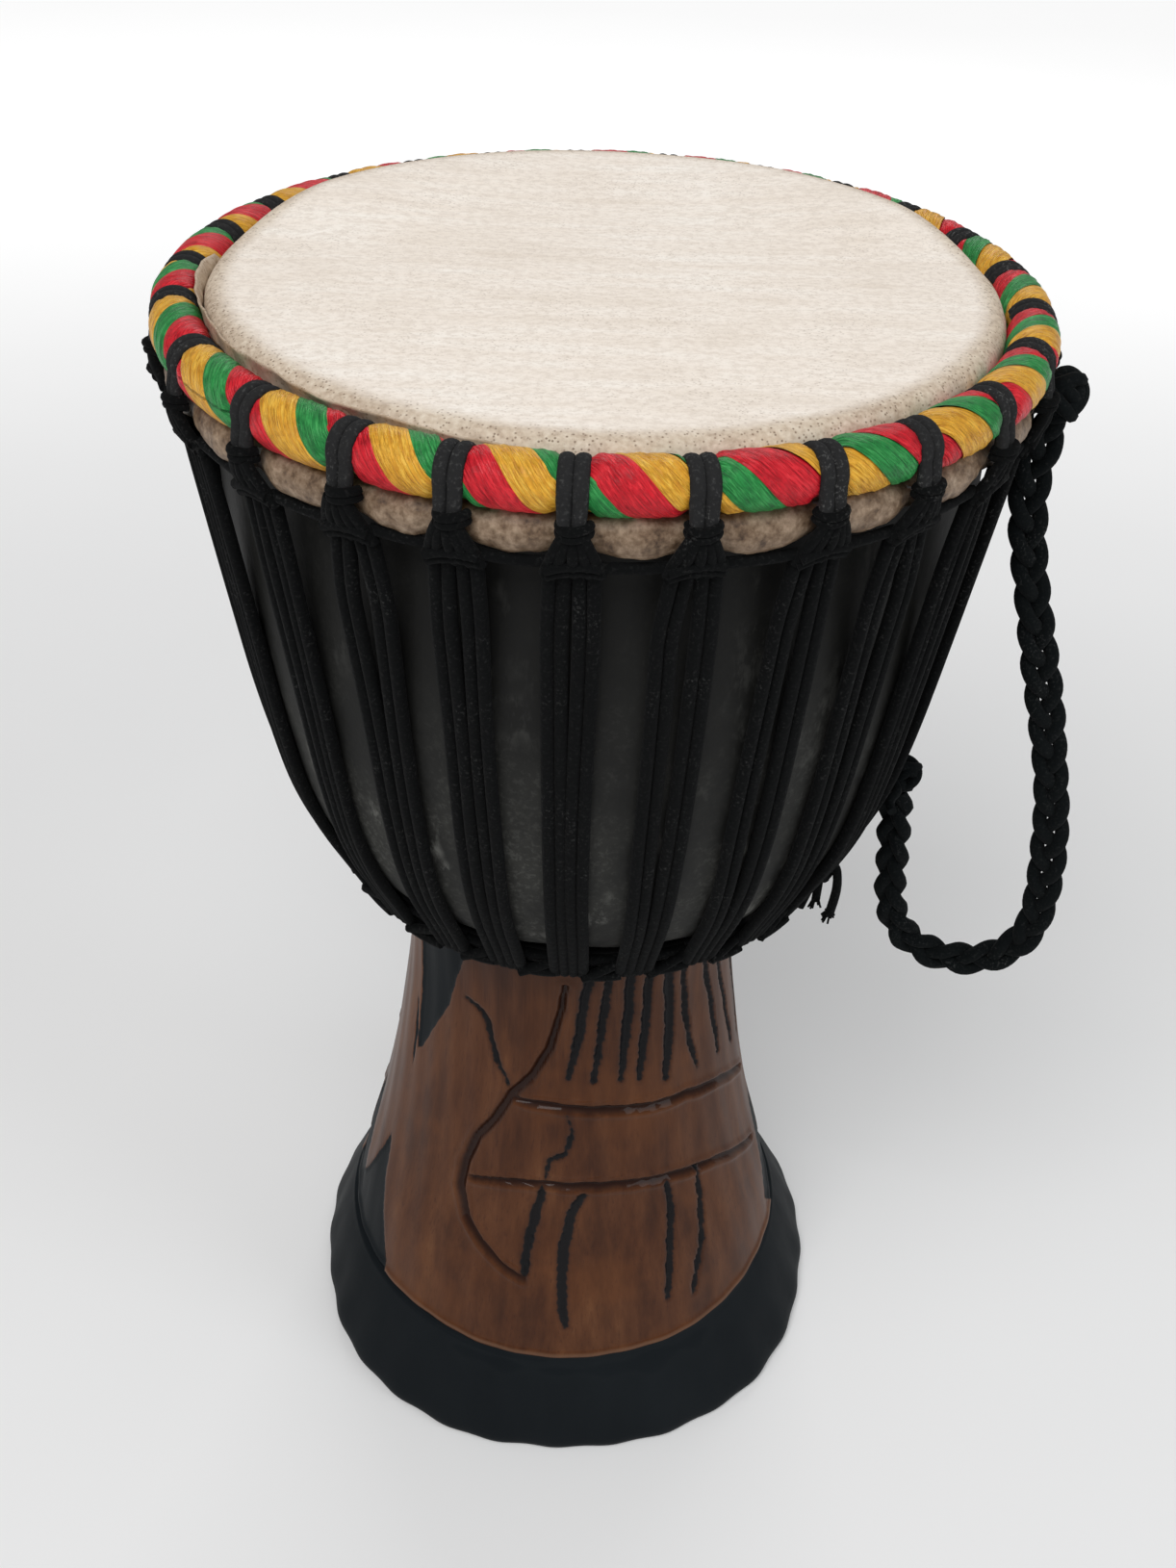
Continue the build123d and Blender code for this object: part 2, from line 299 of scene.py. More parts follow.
def rope_tree():
    labels = [("Rope Radius", "Float"), ("Sides", "Int"), ("Material", "Material")]
    patch, given, keys = new_tree("rope along a wire", labels)
    curve = patch.node("GeometryNodeMeshToCurve", {"Mesh": given["Geometry"]})
    along = patch.node("GeometryNodeSplineParameter", output="Length")
    keep = {"Geometry": curve, "Name": "along", "Value": along}
    curve = patch.node("GeometryNodeStoreNamedAttribute", keep, data_type="FLOAT")
    circle_inputs = {"Resolution": given["Sides"], "Radius": given["Rope Radius"]}
    circle = patch.node("GeometryNodeCurvePrimitiveCircle", circle_inputs)
    spot = patch.node("GeometryNodeInputPosition")
    facing = patch.node("ShaderNodeVectorMath", {0: spot}, operation="NORMALIZE")
    keep = {"Geometry": circle, "Name": "facing", "Value": facing}
    circle = patch.node("GeometryNodeStoreNamedAttribute", keep, data_type="FLOAT_VECTOR")
    sweep = {"Curve": curve, "Profile Curve": circle, "Fill Caps": True}
    tube = patch.node("GeometryNodeCurveToMesh", sweep)
    return end_tree(patch, tube, given["Material"]), keys


rope_nodes, rope_keys = rope_tree()
print("the rope tree has", len(rope_nodes.nodes), "nodes and the inputs", sorted(rope_keys))

# %% [markdown]
# From a modifier to a plain mesh
# -------------------------------
# A modifier is only a recipe. `settle` evaluates it, keeps the result as a plain mesh and drops the
# recipe.

# %% Settle a recipe into a mesh
scene_objects = bpy.context.scene.collection.objects


def add_mesh(name, points, edges=(), faces=()):
    mesh = bpy.data.meshes.new(name)
    mesh.from_pydata([tuple(p) for p in points], [tuple(e) for e in edges], [tuple(f) for f in faces])
    made = bpy.data.objects.new(name, mesh)
    scene_objects.link(made)
    return made


def settle(recipe, tree, keys, values):
    """Runs a Geometry Nodes tree on an object and keeps the result as that object's plain mesh."""
    modifier = recipe.modifiers.new("recipe", "NODES")
    modifier.node_group = tree
    for label, value in values.items():
        modifier[keys[label]] = value
    depsgraph = bpy.context.evaluated_depsgraph_get()
    mesh = bpy.data.meshes.new_from_object(recipe.evaluated_get(depsgraph))
    recipe.modifiers.clear()
    old = recipe.data
    recipe.data = mesh
    mesh.name = recipe.name
    bpy.data.meshes.remove(old)
    return recipe


def rope(name, routes, radius, material, sides=8):
    """Rope along each route. A route is a list of places in metres."""
    points = []
    edges = []
    for route in routes:
        first = len(points)
        points += list(route)
        edges += [(k, k + 1) for k in range(first, len(points) - 1)]
    wire = add_mesh(name, points, edges)
    values = {"Rope Radius": radius * MM, "Sides": sides, "Material": material}
    settle(wire, rope_nodes, rope_keys, values)
    print(name, "is", len(routes), "lengths of rope and", len(wire.data.polygons), "faces")
    return wire


# %% [markdown]
# Black rope
# ----------
# Tuning rope is a braided sleeve with almost no stretch. Used rope goes matte and slightly furry, with
# grey dust on its high spots. On the crown loops a lighter base colour and full-strength grey flecks
# are also painted sheen. The braid is two families of slanting plies, one turning each way, and
# the height is whichever is on top. They are worked out from the rope's own length and facing, so the
# braid follows each bend. A little sheen gives the furry edge.

# %% Finish: black rope
def black_rope(name, dust_and_sheen, ply_length, colour=(0.0036, 0.0039, 0.0041)):
    finish = Finish(name)
    along = finish.attribute("along")
    across_x, across_y, _ = finish.apart(finish.attribute("facing", "Vector"))
    double_cos = across_x * across_x - across_y * across_y
    double_sin = across_x * across_y * 2.0
    turn = along * (math.tau / (ply_length * MM))
    wave_sin = turn.math("SINE")
    wave_cos = turn.math("COSINE")
    one_way = wave_sin * double_cos + wave_cos * double_sin
    other_way = wave_sin * double_cos - wave_cos * double_sin
    plies = one_way.math("MAXIMUM", other_way) * 0.5 + 0.5
    fur = finish.mottled(900.0, 3.0, 0.65)
    worn = finish.mottled(60.0).rise(0.45, 0.75)
    # The flecks are grey dust and fuzz, and on the crown loops also painted sheen.
    flecks = fur.rise(0.52, 0.72) * (plies * 0.5 + 0.5) * (worn * 0.8 + 0.2) * dust_and_sheen
    tint = finish.blend(flecks, colour, (0.14, 0.14, 0.137))
    height = plies * (0.16 * MM) + fur * (0.30 * MM)
    rough = 0.95 - flecks * 0.15
    steady = {"Sheen_Weight": 0.015, "Sheen_Roughness": 0.5, "Specular_IOR_Level": 0.06}
    return finish.surface(tint, rough, [(height, 0.7)], **steady)


rope_finish = black_rope("black_rope", 0.28, 5.0)
handle_finish = black_rope("black_rope_handle", 0.30, 6.5, (0.0040, 0.0052, 0.0056))
# Crown loops: a lighter base colour and full grey flecks, a painted sheen on top of their dust.
crown_loop_sheen_finish = black_rope("black_rope_crown", 1.0, 3.6, (0.019, 0.019, 0.0195))

# %% [markdown]
# The braided handle
# ------------------
# A handle of braided rope hangs from a tie under the crown ring and comes back up to a tie low on
# the lacing. It is a free cord, so its middle line comes first: one smooth NURBS spline through
# the same points as its CAD tube. The rope itself is three plies that cross over in turn, as a plait
# of hair does: each swings from side to side, and passes over at the middle and under on its way back.

# %% The handle's middle line
handle_route = [
    (169.8, 525.1), (166.3, 510), (166.6, 490), (172.1, 465), (180.2, 436), (189.8, 404),
    (197.9, 374), (204.2, 344), (207.6, 312), (207.6, 282), (195.2, 263.5), (174.5, 256.8),
    (153.8, 263.5), (143.0, 282), (141.2, 303), (139.6, 323), (137.6, 338), (138.4, 348.3),
]
tail_route = [(117.6, 328.2), (121.8, 326.4), (123.6, 320.0), (123.8, 310.5), (122.2, 300.0)]


def spline_line(name, azimuth, route):
    """Points down the middle of a smooth spline whose control points are the route."""
    curve = bpy.data.curves.new(name, "CURVE")
    curve.dimensions = "3D"
    spline = curve.splines.new("NURBS")
    spline.points.add(len(route) - 1)
    for point, (radius, height) in zip(spline.points, route):
        point.co = (*around(azimuth, radius, height), 1)
    spline.order_u = 3
    spline.use_endpoint_u = True
    spline.resolution_u = 16
    holder = bpy.data.objects.new(name, curve)
    mesh = bpy.data.meshes.new_from_object(holder)
    line = [v.co.copy() for v in mesh.vertices]
    bpy.data.objects.remove(holder)
    bpy.data.curves.remove(curve)
    bpy.data.meshes.remove(mesh)
    return line


def evenly(line, step):
    """The line again, with points about a step apart."""
    points = np.array([tuple(p) for p in line])
    gaps = np.linalg.norm(np.diff(points, axis=0), axis=1)
    distance = np.concatenate([[0], np.cumsum(gaps)])
    count = max(2, int(round(distance[-1] / step)) + 1)
    wanted = np.linspace(0, distance[-1], count)
    spread = [np.interp(wanted, distance, points[:, axis]) for axis in range(3)]
    return [Vector(p) for p in zip(*spread)], distance[-1]


handle_line = spline_line("handle_line", handle_azimuth, handle_route)
handle_points, handle_length = evenly(handle_line, 1.6 * MM)
print("the handle is", round(handle_length, 3), "m long")

# %% The handle's plait
plies = 3
plait_pitch = 45.0  # one full swing from side to side and back
plait_swing = 4.7
plait_depth = 1.9
ply_radius = 3.15
end_taper = 12.0  # the plait draws together where it is tied
end_width = 0.35  # and this share of its swing is left there
handle_turn = math.radians(handle_azimuth)
handle_side = Vector((math.cos(handle_turn), math.sin(handle_turn), 0))


def plait(line, length, outward):
    """Routes of the plies of a flat plait along a line. Outward is the flat side's direction."""
    routes = [[] for _ in range(plies)]
    for k, place in enumerate(line):
        ahead = line[min(k + 1, len(line) - 1)] - line[max(k - 1, 0)]
        side = ahead.normalized().cross(outward).normalized()
        twist = 0.35 * math.sin(k * 0.031) + 0.15
        across = side * math.cos(twist) + outward * math.sin(twist)
        over = outward * math.cos(twist) - side * math.sin(twist)
        travelled = length * k / (len(line) - 1)
        to_end = min(travelled, length - travelled) / (end_taper * MM)
        width = min(1.0, end_width + to_end) * (1 + 0.08 * math.sin(k * 0.11))
        for ply in range(plies):
            phase = math.tau * (travelled / (plait_pitch * MM) + ply / plies)
            sway = across * (plait_swing * MM * width * math.sin(phase))
            lift = over * (plait_depth * MM * math.sin(2 * phase))
            routes[ply].append(place + sway + lift)
    return routes


handle_plies = plait(handle_points, handle_length, handle_side)
handle = rope("handle_plait", handle_plies, ply_radius, handle_finish, sides=10)

# %% [markdown]
# Ties, knots and the loose tail
# ------------------------------
# A rope knot seen from outside is a ball of short arcs that pass over each other. A path that runs
# round a sphere while it slowly tips over gives just that. The two cut ends of the lacing hang from a
# small knot at the lower right, and their threads fan apart.

# %% Knots
def ball_of_rope(azimuth, radius, height, size, thick, winds=3, tip=0.0, squash=1.0):
    """A closed path over a ball, for a knot of rope."""
    middle = around(azimuth, radius, height)
    out = around(azimuth, 1000, 0)
    side = around(azimuth, 0, 0, 1000)
    up_way = Vector((0, 0, 1))
    route = []
    steps = 60 * winds
    for k in range(steps + 1):
        turn = math.tau * k / steps
        lean = 1.15 * math.sin(turn * (winds - 1) + tip)
        roll = turn * winds + tip
        reach = (size - thick) * (1 + 0.06 * math.sin(5 * turn))
        local = (
            math.cos(roll) * math.cos(lean),
            math.sin(roll) * math.cos(lean),
            math.sin(lean) * squash,
        )
        shift = out * local[0] + side * local[1] + up_way * local[2]
        route.append(middle + shift * (reach * MM))
    return route


knot_spot = (handle_azimuth, 171.5, 533.5)
knot_thick = 2.6
knot_turns = [
    ball_of_rope(*knot_spot, 9.6, knot_thick, 3, 0.4, 1.15),
    ball_of_rope(*knot_spot, 8.2, knot_thick, 4, 1.9, 1.15),
]
handle_knot = rope("handle_knot_rope", knot_turns, knot_thick, handle_finish)

hitch_radius, hitch_height = 139.5, 357.0
hitch_thick = 2.4
hitch_bar = [
    around(handle_azimuth, 136.3 + 1.2 * math.sin(s * 0.4), hitch_height + s * 0.12, s)
    for s in range(-25, 26, 2)
]
hitch_turns = [
    ball_of_rope(handle_azimuth, hitch_radius, hitch_height, 8.4, hitch_thick, 3, 1.1),
    ball_of_rope(handle_azimuth, hitch_radius, hitch_height, 7.0, hitch_thick, 4, 0.2),
    hitch_bar,
]
handle_hitch = rope("handle_hitch_rope", hitch_turns, rope_radius, handle_finish)

# %% The tail
tail_line, tail_length = evenly(spline_line("tail_line", tail_azimuth, tail_route), 1.0 * MM)
short_end = [
    around(tail_azimuth, 115.4 + 0.1 * step, 318.0 - 2.4 * step, -0.5 * step) for step in range(6)
]
knotted_radius = 1.9  # rope that is pulled into a small knot is thinner
frayed = random.Random(7)


def frayed_end(line, count, reach):
    """Threads that fan out from the last few millimetres of a rope."""
    way = (line[-1] - line[-4]).normalized()
    steps = np.linspace(0, 1, 6)
    threads = []
    for _ in range(count):
        lean = Vector([frayed.uniform(-1, 1) for _ in range(3)])
        root = line[-1] - way * 2.5 * MM + lean * 1.2 * MM
        threads.append([root + (way * reach * s + lean * 1.8 * s**1.5) * MM for s in steps])
    return threads


tail = rope("tail_rope_end", [tail_line], rope_radius, rope_finish)
tail_threads = frayed_end(tail_line, 22, 4.5) + frayed_end(short_end, 16, 4.0)
tail_fray = rope("tail_fray", tail_threads, 0.5, rope_finish, sides=5)
tail_ball = ball_of_rope(tail_azimuth, 116.6, 321.0, 4.6, 1.6, 3, 0.7)
tail_knot = rope("tail_knot_rope", [tail_ball, short_end], knotted_radius, rope_finish)
start_ball = ball_of_rope(-84.8, 167.8, 522.0, 5.2, 1.6, 3, 0.2)
start_knot = rope("lace_start_knot_rope", [start_ball], knotted_radius, rope_finish)
print("the tail is", round(tail_length, 3), "m long")

# %% [markdown]
# The lacing
# ----------
# Between each tie and the bottom ring run four lengths of rope: a band two pairs wide. A length leaves
# its knot, crosses the open air to the swelling of the bowl, lies on the wood, and turns round the
# bottom ring. The bowl's outline is three arcs that meet without a corner, so the rope's path is the
# same arcs moved outwards, with the straight runs that touch them. The pairs spread apart at the top
# and come together below, and no band is quite like its neighbour.

# %% The bowl's outline
belly_radius = 148.2
belly_height = 505.0
bowl_arc_radii = (620.0, 180.0, 51.5)
bowl_arc_ends = (11.9, 25.0, 70.0)
bottom_ring = (105.0, 312.5)
bottom_ring_steel = 4.0
rope_lift = 2.5
lace_start = (159.8, 522.0)


def wall_way(lean):
    return np.array((math.cos(math.radians(lean)), -math.sin(math.radians(lean))))


arc_centres = []
corner = np.array((belly_radius, belly_height))
reached = 0.0
for arc_radius, arc_end in zip(bowl_arc_radii, bowl_arc_ends):
    arc_centres.append(corner - wall_way(reached) * arc_radius)
    corner = arc_centres[-1] + wall_way(arc_end) * arc_radius
    reached = arc_end


def bowl_line(lift, first, last, step=4.0):
    """Radius and height along the bowl's arcs, moved outwards, between two leans of the wall."""
    line = []
    start = 0.0
    for centre, arc_radius, end in zip(arc_centres, bowl_arc_radii, bowl_arc_ends):
        low, high = max(start, first), min(end, last)
        if high > low:
            count = max(2, int(math.radians(high - low) * (arc_radius + lift) / step))
            leans = np.linspace(low, high, count + 1)[0 if not line else 1 :]
            line += [centre + wall_way(lean) * (arc_radius + lift) for lean in leans]
        start = end
    return line


print("the bowl's outline ends at radius and height", corner.round(1), "mm")

# %% Where a length of rope runs
to_start = np.array(lace_start) - arc_centres[0]
meet = math.degrees(math.acos((bowl_arc_radii[0] + rope_lift) / np.linalg.norm(to_start)))
start_lean = -math.degrees(math.atan2(to_start[1], to_start[0])) + meet
ring_middle = np.array(bottom_ring)
to_ring = ring_middle - arc_centres[2]
round_ring = bottom_ring_steel + rope_lift
part_way = math.acos((bowl_arc_radii[2] + rope_lift - round_ring) / np.linalg.norm(to_ring))
leave_lean = -math.degrees(math.atan2(to_ring[1], to_ring[0])) - math.degrees(part_way)
tuck_lean = 125.0

on_bowl = bowl_line(rope_lift, start_lean, leave_lean)
in_air = [np.array(lace_start) * (1 - s) + on_bowl[0] * s for s in np.linspace(0, 1, 16)[:-1]]
tuck = [ring_middle + wall_way(lean) * round_ring for lean in np.linspace(leave_lean, tuck_lean, 9)]
lace_line = np.array(in_air + on_bowl + tuck)
lace_steps = np.linalg.norm(np.diff(lace_line, axis=0), axis=1)
lace_share = np.concatenate([[0], np.cumsum(lace_steps)]) / lace_steps.sum()
print("each length of rope is", round(lace_steps.sum()), "mm from knot to ring")

# %% One length of rope
inner_gap, outer_gap = 2.3, 6.9


def lace_route(azimuth, way, offset, spread, wander, second, where, twist):
    """A length's route. The last five numbers are what the hand did to this pair of lengths."""
    route = []
    for (radius, height), share in zip(lace_line, lace_share):
        open_out = math.sin(math.pi * min(1.0, share / 0.9))
        drift = spread * way * (1 - share) ** 1.4 * min(1.0, share * 9)
        bend = wander * math.sin(math.pi * share) + second * math.sin(math.tau * share + where)
        sway = bend * 0.8
        tight = 1 - 0.20 * max(0.0, share - 0.55) / 0.45
        roll = twist * (1 if offset > inner_gap else -1) + 0.2
        lift = max(0.0, 0.5 * math.sin(math.pi * share) * roll) * 2.0
        sideways = way * offset * tight + drift + sway * open_out
        route.append(around(azimuth, radius + lift, height, sideways))
    return route


print("a length's route has", len(lace_line), "places")

# %% One hundred lengths of rope
hand = random.Random(3)
hand_limits = ((0.2, 3.6), (-1.8, 1.8), (-0.7, 0.7), (0.25, 0.6), (-0.35, 0.35))
lace_radius = 2.45
lace_names = {
    "lace_outer_left": (-1, outer_gap), "lace_inner_left": (-1, inner_gap),
    "lace_inner_right": (1, inner_gap), "lace_outer_right": (1, outer_gap),
}
lace_routes = {name: [] for name in lace_names}
for azimuth in ties:
    for way in (-1, 1):
        by_hand = [hand.uniform(*limits) for limits in hand_limits]
        for name, (side, offset) in lace_names.items():
            if side == way:
                lace_routes[name].append(lace_route(azimuth, way, offset, *by_hand))
laces = [rope(f"{name}_rope", lace_routes[name], lace_radius, rope_finish) for name in lace_names]

# %% [markdown]
# What repeats at every tie
# -------------------------
# The crown ring is held by a doubled rope at each tie, bound by a hitch, with a flared knot below it.
# One tie is modelled at the front, and a Geometry Nodes tree sets a copy at each tie's azimuth, turned
# by a hair more or less so that they look tied by hand.

# %% The tie tree
def tie_tree():
    labels = [("Motif", "Object"), ("Wander", "Float"), ("Seed", "Int"), ("Material", "Material")]
    patch, given, keys = new_tree("copies at the ties", labels)
    motif = patch.node("GeometryNodeObjectInfo", {"Object": given["Motif"]}, output="Geometry")
    turn = patch.node("GeometryNodeInputNamedAttribute", {"Name": "turn"}, data_type="FLOAT")
    limits = {"Min": -1.0, "Max": 1.0, "Seed": given["Seed"]}
    chance = patch.node("FunctionNodeRandomValue", limits, output=1, data_type="FLOAT")
    spun = patch.node("ShaderNodeCombineXYZ", {"Z": turn + chance * given["Wander"]})
    copies = {"Points": given["Geometry"], "Instance": motif, "Rotation": spun}
    placed = patch.node("GeometryNodeInstanceOnPoints", copies)
    return end_tree(patch, placed, given["Material"]), keys


tie_nodes, tie_keys = tie_tree()


def at_ties(name, motif, material, wander=0.15, seed=1):
    """A copy of a motif at every tie, as one plain mesh."""
    spots = add_mesh(name, [(0, 0, 0)] * tie_count)
    turn = spots.data.attributes.new("turn", "FLOAT", "POINT")
    turn.data.foreach_set("value", [math.radians(azimuth) for azimuth in ties])
    values = {"Motif": motif, "Wander": math.radians(wander), "Seed": seed, "Material": material}
    settle(spots, tie_nodes, tie_keys, values)
    bpy.data.objects.remove(motif)
    print(name, "has", len(spots.data.polygons), "faces")
    return spots


# %% Crown loops
crown = (157.5, 550.5)
over_crown = 7.85
loop_radius = 2.4
loop_half_gap = 2.3


def round_rod(ring, reach, angle, sideways):
    """A place at the drum's front, on a circle round the rod of a ring."""
    t = math.radians(angle)
    return around(0, ring[0] + reach * math.cos(t), ring[1] + reach * math.sin(t), sideways)


def crown_path(sideways):
    path = [round_rod(crown, over_crown, angle, sideways) for angle in np.linspace(158, -14, 22)]
    path.append(around(0, 165.6, 543.4, sideways * 0.97))
    path.append(around(0, 165.9, 537.5, sideways * 0.85))
    return path


def pressed_flat(thing, thickness, width):
    """Presses a loop's rope against the ring, so that it is wider than it is thick."""
    for vertex in thing.data.vertices:
        out = -vertex.co.y / MM - crown[0]
        rise = vertex.co.z / MM - crown[1]
        if rise < -6.0:
            continue
        away = math.hypot(out, rise)
        share = (over_crown + (away - over_crown) * thickness) / away
        sideways = vertex.co.x / MM * width
        vertex.co = around(0, crown[0] + out * share, crown[1] + rise * share, sideways)


pair = [crown_path(-loop_half_gap), crown_path(loop_half_gap)]
motif = rope("one_loop", pair, loop_radius, crown_loop_sheen_finish, sides=12)
pressed_flat(motif, 0.66, 1.06)
loops = at_ties("crown_loop_ropes", motif, crown_loop_sheen_finish, 0.1, 2)

# %% Hitches and knots
hitch_path = []
for angle in np.linspace(-100, 100, 19):
    t = math.radians(angle)
    height = 540.4 + 0.4 * math.sin(2 * t)
    hitch_path.append(around(0, 164.4 + 4.9 * math.cos(t), height, 4.6 * math.sin(t)))
upper_path = [p + Vector((0, 0.0003, -0.0024)) for p in hitch_path]
hitch_rope = 1.6  # pulled tight, the rope of the hitches and knots is thinner
knot_rope = 1.95
motif = rope("one_hitch", [hitch_path, upper_path], hitch_rope, rope_finish, sides=10)
hitches = at_ties("crown_hitch_ropes", motif, rope_finish, 0.3, 3)

# Each strand of the flare: where it starts and ends sideways, and how far it bulges.
strands = ((-3.0, -8.8, 0.0), (-1.5, -5.2, 0.9), (1.5, 5.2, 0.9), (3.0, 8.8, 0.0), (0.0, 0.4, 1.5))
fan = []
shares = np.linspace(0, 1, 9)
for starts, ends, bulge in strands:
    line = []
    for s in shares:
        radius = 167.2 + bulge * math.sin(math.pi * s) - 6.2 * s**1.5
        height = 537.5 - 13.5 * s - 2.0 * s * s
        line.append(around(0, radius, height, starts + (ends - starts) * s**0.9))
    fan.append(line)
cross = []
for s in np.linspace(-1, 1, 13):
    cross.append(around(0, 164.2 + 1.2 * math.cos(s * 1.5), 527.2 - 1.9 * s * s + 0.8 * s, 8.6 * s))
low_cross = [p + Vector((0, 0.0020, -0.0030)) for p in cross]
motif = rope("one_knot", [*fan, cross, low_cross], knot_rope, rope_finish, sides=9)
knots = at_ties("crown_knot_ropes", motif, rope_finish, 0.3, 4)

# %% [markdown]
# Rope from tie to tie
# --------------------
# One strand steps from each knot to the next, so the bands are all one rope. It is pulled nearly
# straight, with the slightest sag. More strands do the same along the bottom ring, some level and some
# slanting, and under each band a strand wraps the ring. Three closed rings of rope behind them fill
# the gap to the wood.

# %% Links
def link_route(first, second, radius, height, sag, reach, climb=0.0):
    """A strand from one tie to the next, that hangs by the sag and rises by the climb."""
    start = around(first, radius, height, reach)
    end = around(second, radius, height, -reach)
    line = []
    for s in shares:
        drop = Vector((0, 0, -sag * MM * 4 * s * (1 - s)))
        line.append(start * (1 - s) + end * s + drop + Vector((0, 0, climb * MM * s)))
    return line


crown_links = []
bottom_links = []
crown_reach, bottom_reach = 7.5, 5.5  # how far from a tie's middle its links start
link_radius = 2.0
for azimuth, following in zip(ties, ties[1:] + [ties[0] + 360]):
    height, sag = 525.6 + hand.uniform(-1, 1), hand.uniform(0, 1)
    crown_links.append(link_route(azimuth, following, 161.0, height, sag, crown_reach))
    for radius, height, unsure, sag in ((112.0, 309, 1.5, 0.8), (109.5, 316, 1, 0.5)):
        height += hand.uniform(-unsure, unsure)
        bottom_links.append(link_route(azimuth, following, radius, height, sag, bottom_reach))
    bottom_links.append(link_route(azimuth, following, 112.2, 306.8, 0.3, bottom_reach, 9.0))
for radius, height in ((107.5, 307.0), (103.3, 305.8), (98.5, 308.0)):
    bottom_links.append([around(azimuth, radius, height) for azimuth in range(0, 361, 4)])
link_ropes = rope("crown_link_ropes", crown_links, link_radius, rope_finish)
bottom_ropes = rope("bottom_link_ropes", bottom_links, rope_radius, rope_finish)

# %% Wraps under the bottom ring
over_bottom = 7.0
wrap = []
for sideways in (-5.4, -1.8, 1.8, 5.4):
    line = []
    for angle in np.linspace(-170, 40, 15):
        splay = 1.0 + 0.12 * math.sin(math.radians(angle))
        line.append(round_rod(bottom_ring, over_bottom, angle, sideways * splay))
    wrap.append(line)
motif = rope("one_wrap", wrap, link_radius, rope_finish)
bottom_wraps = at_ties("bottom_ring_wraps", motif, rope_finish, 0.6, 5)

# %% [markdown]
# Surfaces of revolution that are not quite round
# -----------------------------------------------
# The skin, the cloth and the wood are all turned shapes with something done to them by hand.
# `rows_to_mesh` makes a closed surface from a grid: each row is a ring of points round the drum, and
# each row joins the next. What was done by hand is a change to the rows before the faces are made.

# %% Rows of points to a surface
def rows_to_mesh(name, rows, closed_rows=False, capped=False):
    """Rows is an array (rows, columns, 3) in metres. Columns close round; rows close on request."""
    count, columns, _ = rows.shape
    points = rows.reshape(-1, 3)
    index = np.arange(count * columns).reshape(count, columns)
    after = np.roll(index, -1, axis=1)
    upper, upper_after = index[:-1], after[:-1]
    lower, lower_after = index[1:], after[1:]
    faces = np.stack([upper, lower, lower_after, upper_after], axis=-1).reshape(-1, 4)
    if closed_rows:
        last = np.stack([index[-1], index[0], after[0], after[-1]], axis=-1)
        faces = np.concatenate([faces, last])
    made = bpy.data.meshes.new(name)
    made.vertices.add(len(points))
    made.vertices.foreach_set("co", points.astype(np.float32).ravel())
    made.loops.add(faces.size)
    made.loops.foreach_set("vertex_index", faces.ravel().astype(np.int32))
    made.polygons.add(len(faces))
    made.polygons.foreach_set("loop_start", np.arange(0, faces.size, 4, dtype=np.int32))
    made.update(calc_edges=True)
    made.validate()
    if capped:
        work = bmesh.new()
        work.from_mesh(made)
        work.verts.ensure_lookup_table()
        for ring in (index[0], index[-1][::-1]):
            work.faces.new([work.verts[i] for i in ring])
        work.to_mesh(made)
        work.free()
    made.shade_smooth()
    thing = bpy.data.objects.new(name, made)
    scene_objects.link(thing)
    return thing


def keep(thing, name, values):
    """Stores a number for each point, for the finish to read."""
    layer = thing.data.attributes.new(name, "FLOAT", "POINT")
    layer.data.foreach_set("value", np.asarray(values, np.float32).ravel())


def ring_points(azimuths, radii, heights, shift=0.0):
    """Points in metres from azimuths in degrees, and radii and heights in millimetres."""
    turn, radii, heights = np.broadcast_arrays(np.radians(azimuths), radii, heights)
    flat = np.stack([radii * np.sin(turn) + shift, -radii * np.cos(turn), heights], axis=-1)
    return flat * MM


def ripple(azimuths, waves, size, chance):
    """A smooth uneven line round the drum, from a few waves with chance phases."""
    total = np.zeros_like(azimuths, float)
    for wave in waves:
        share = math.sin(chance.uniform(0, 3))
        total += share * np.sin(np.radians(azimuths) * wave + chance.uniform(0, 6.28))
    return total * size


def eased(value, low, high):
    """0 below low, 1 above high, and a smooth rise between them."""
    t = np.clip((value - low) / (high - low), 0, 1)
    return t * t * (3 - 2 * t)


def hump(distance, width, power=2):
    """1 at no distance, falling smoothly to nothing past the width."""
    return np.exp(-((distance / width) ** power))


def from_tie(azimuths):
    """Degrees from each azimuth to the nearest tie."""
    return np.min([np.abs((azimuths - tie + 180) % 360 - 180) for tie in ties], axis=0)


def facing_out(thing):
    """Turns all faces outwards, and prints the volume inside."""
    work = bmesh.new()
    work.from_mesh(thing.data)
    bmesh.ops.recalc_face_normals(work, faces=work.faces)
    volume = work.calc_volume(signed=True)
    if volume < 0:
        bmesh.ops.reverse_faces(work, faces=work.faces)
    work.to_mesh(thing.data)
    work.free()
    print(thing.name, len(thing.data.polygons), "faces,", round(abs(volume) * 1e6, 1), "ml")


print("surface helpers are ready")

# %% [markdown]
# The goatskin
# ------------
# The skin is soaked, pulled over the mouth and rolled back over a steel ring. As it dries it goes hard
# and pale, and the rolled edge is pinched at every tie, so that it swells into a small cushion between
# two ties. The outline goes from the middle of the playing face, over the rim, down the side and round
# the roll, and back up inside as the skin's other face.

# %% The skin's outline
skin_top = 559.6
skin_line = [(0.5, skin_top)]
skin_line += [(r, skin_top) for r in (20, 45, 70, 95, 115, 128, 136, 140)]
skin_line += [(142.2, 559.3), (144.3, 558.4), (146.0, 556.9), (147.2, 554.9), (147.8, 552.3)]
skin_line += [(147.9, 549.0), (148.2, 545.5)]
inner_side = [(146.7, 537.5), (146.5, 549.0), (145.6, 554.0), (143.6, 556.8), (139.5, 558.3)]
inner_side += [(r, 558.4) for r in (100, 50, 0.5)]
roll = (157.0, 535.5)
roll_angles = np.linspace(120, -215, 34)
columns = 600
azimuths = np.arange(columns) * 360 / columns
pinch = hump(from_tie(azimuths), 3.3)
uneven = random.Random(11)


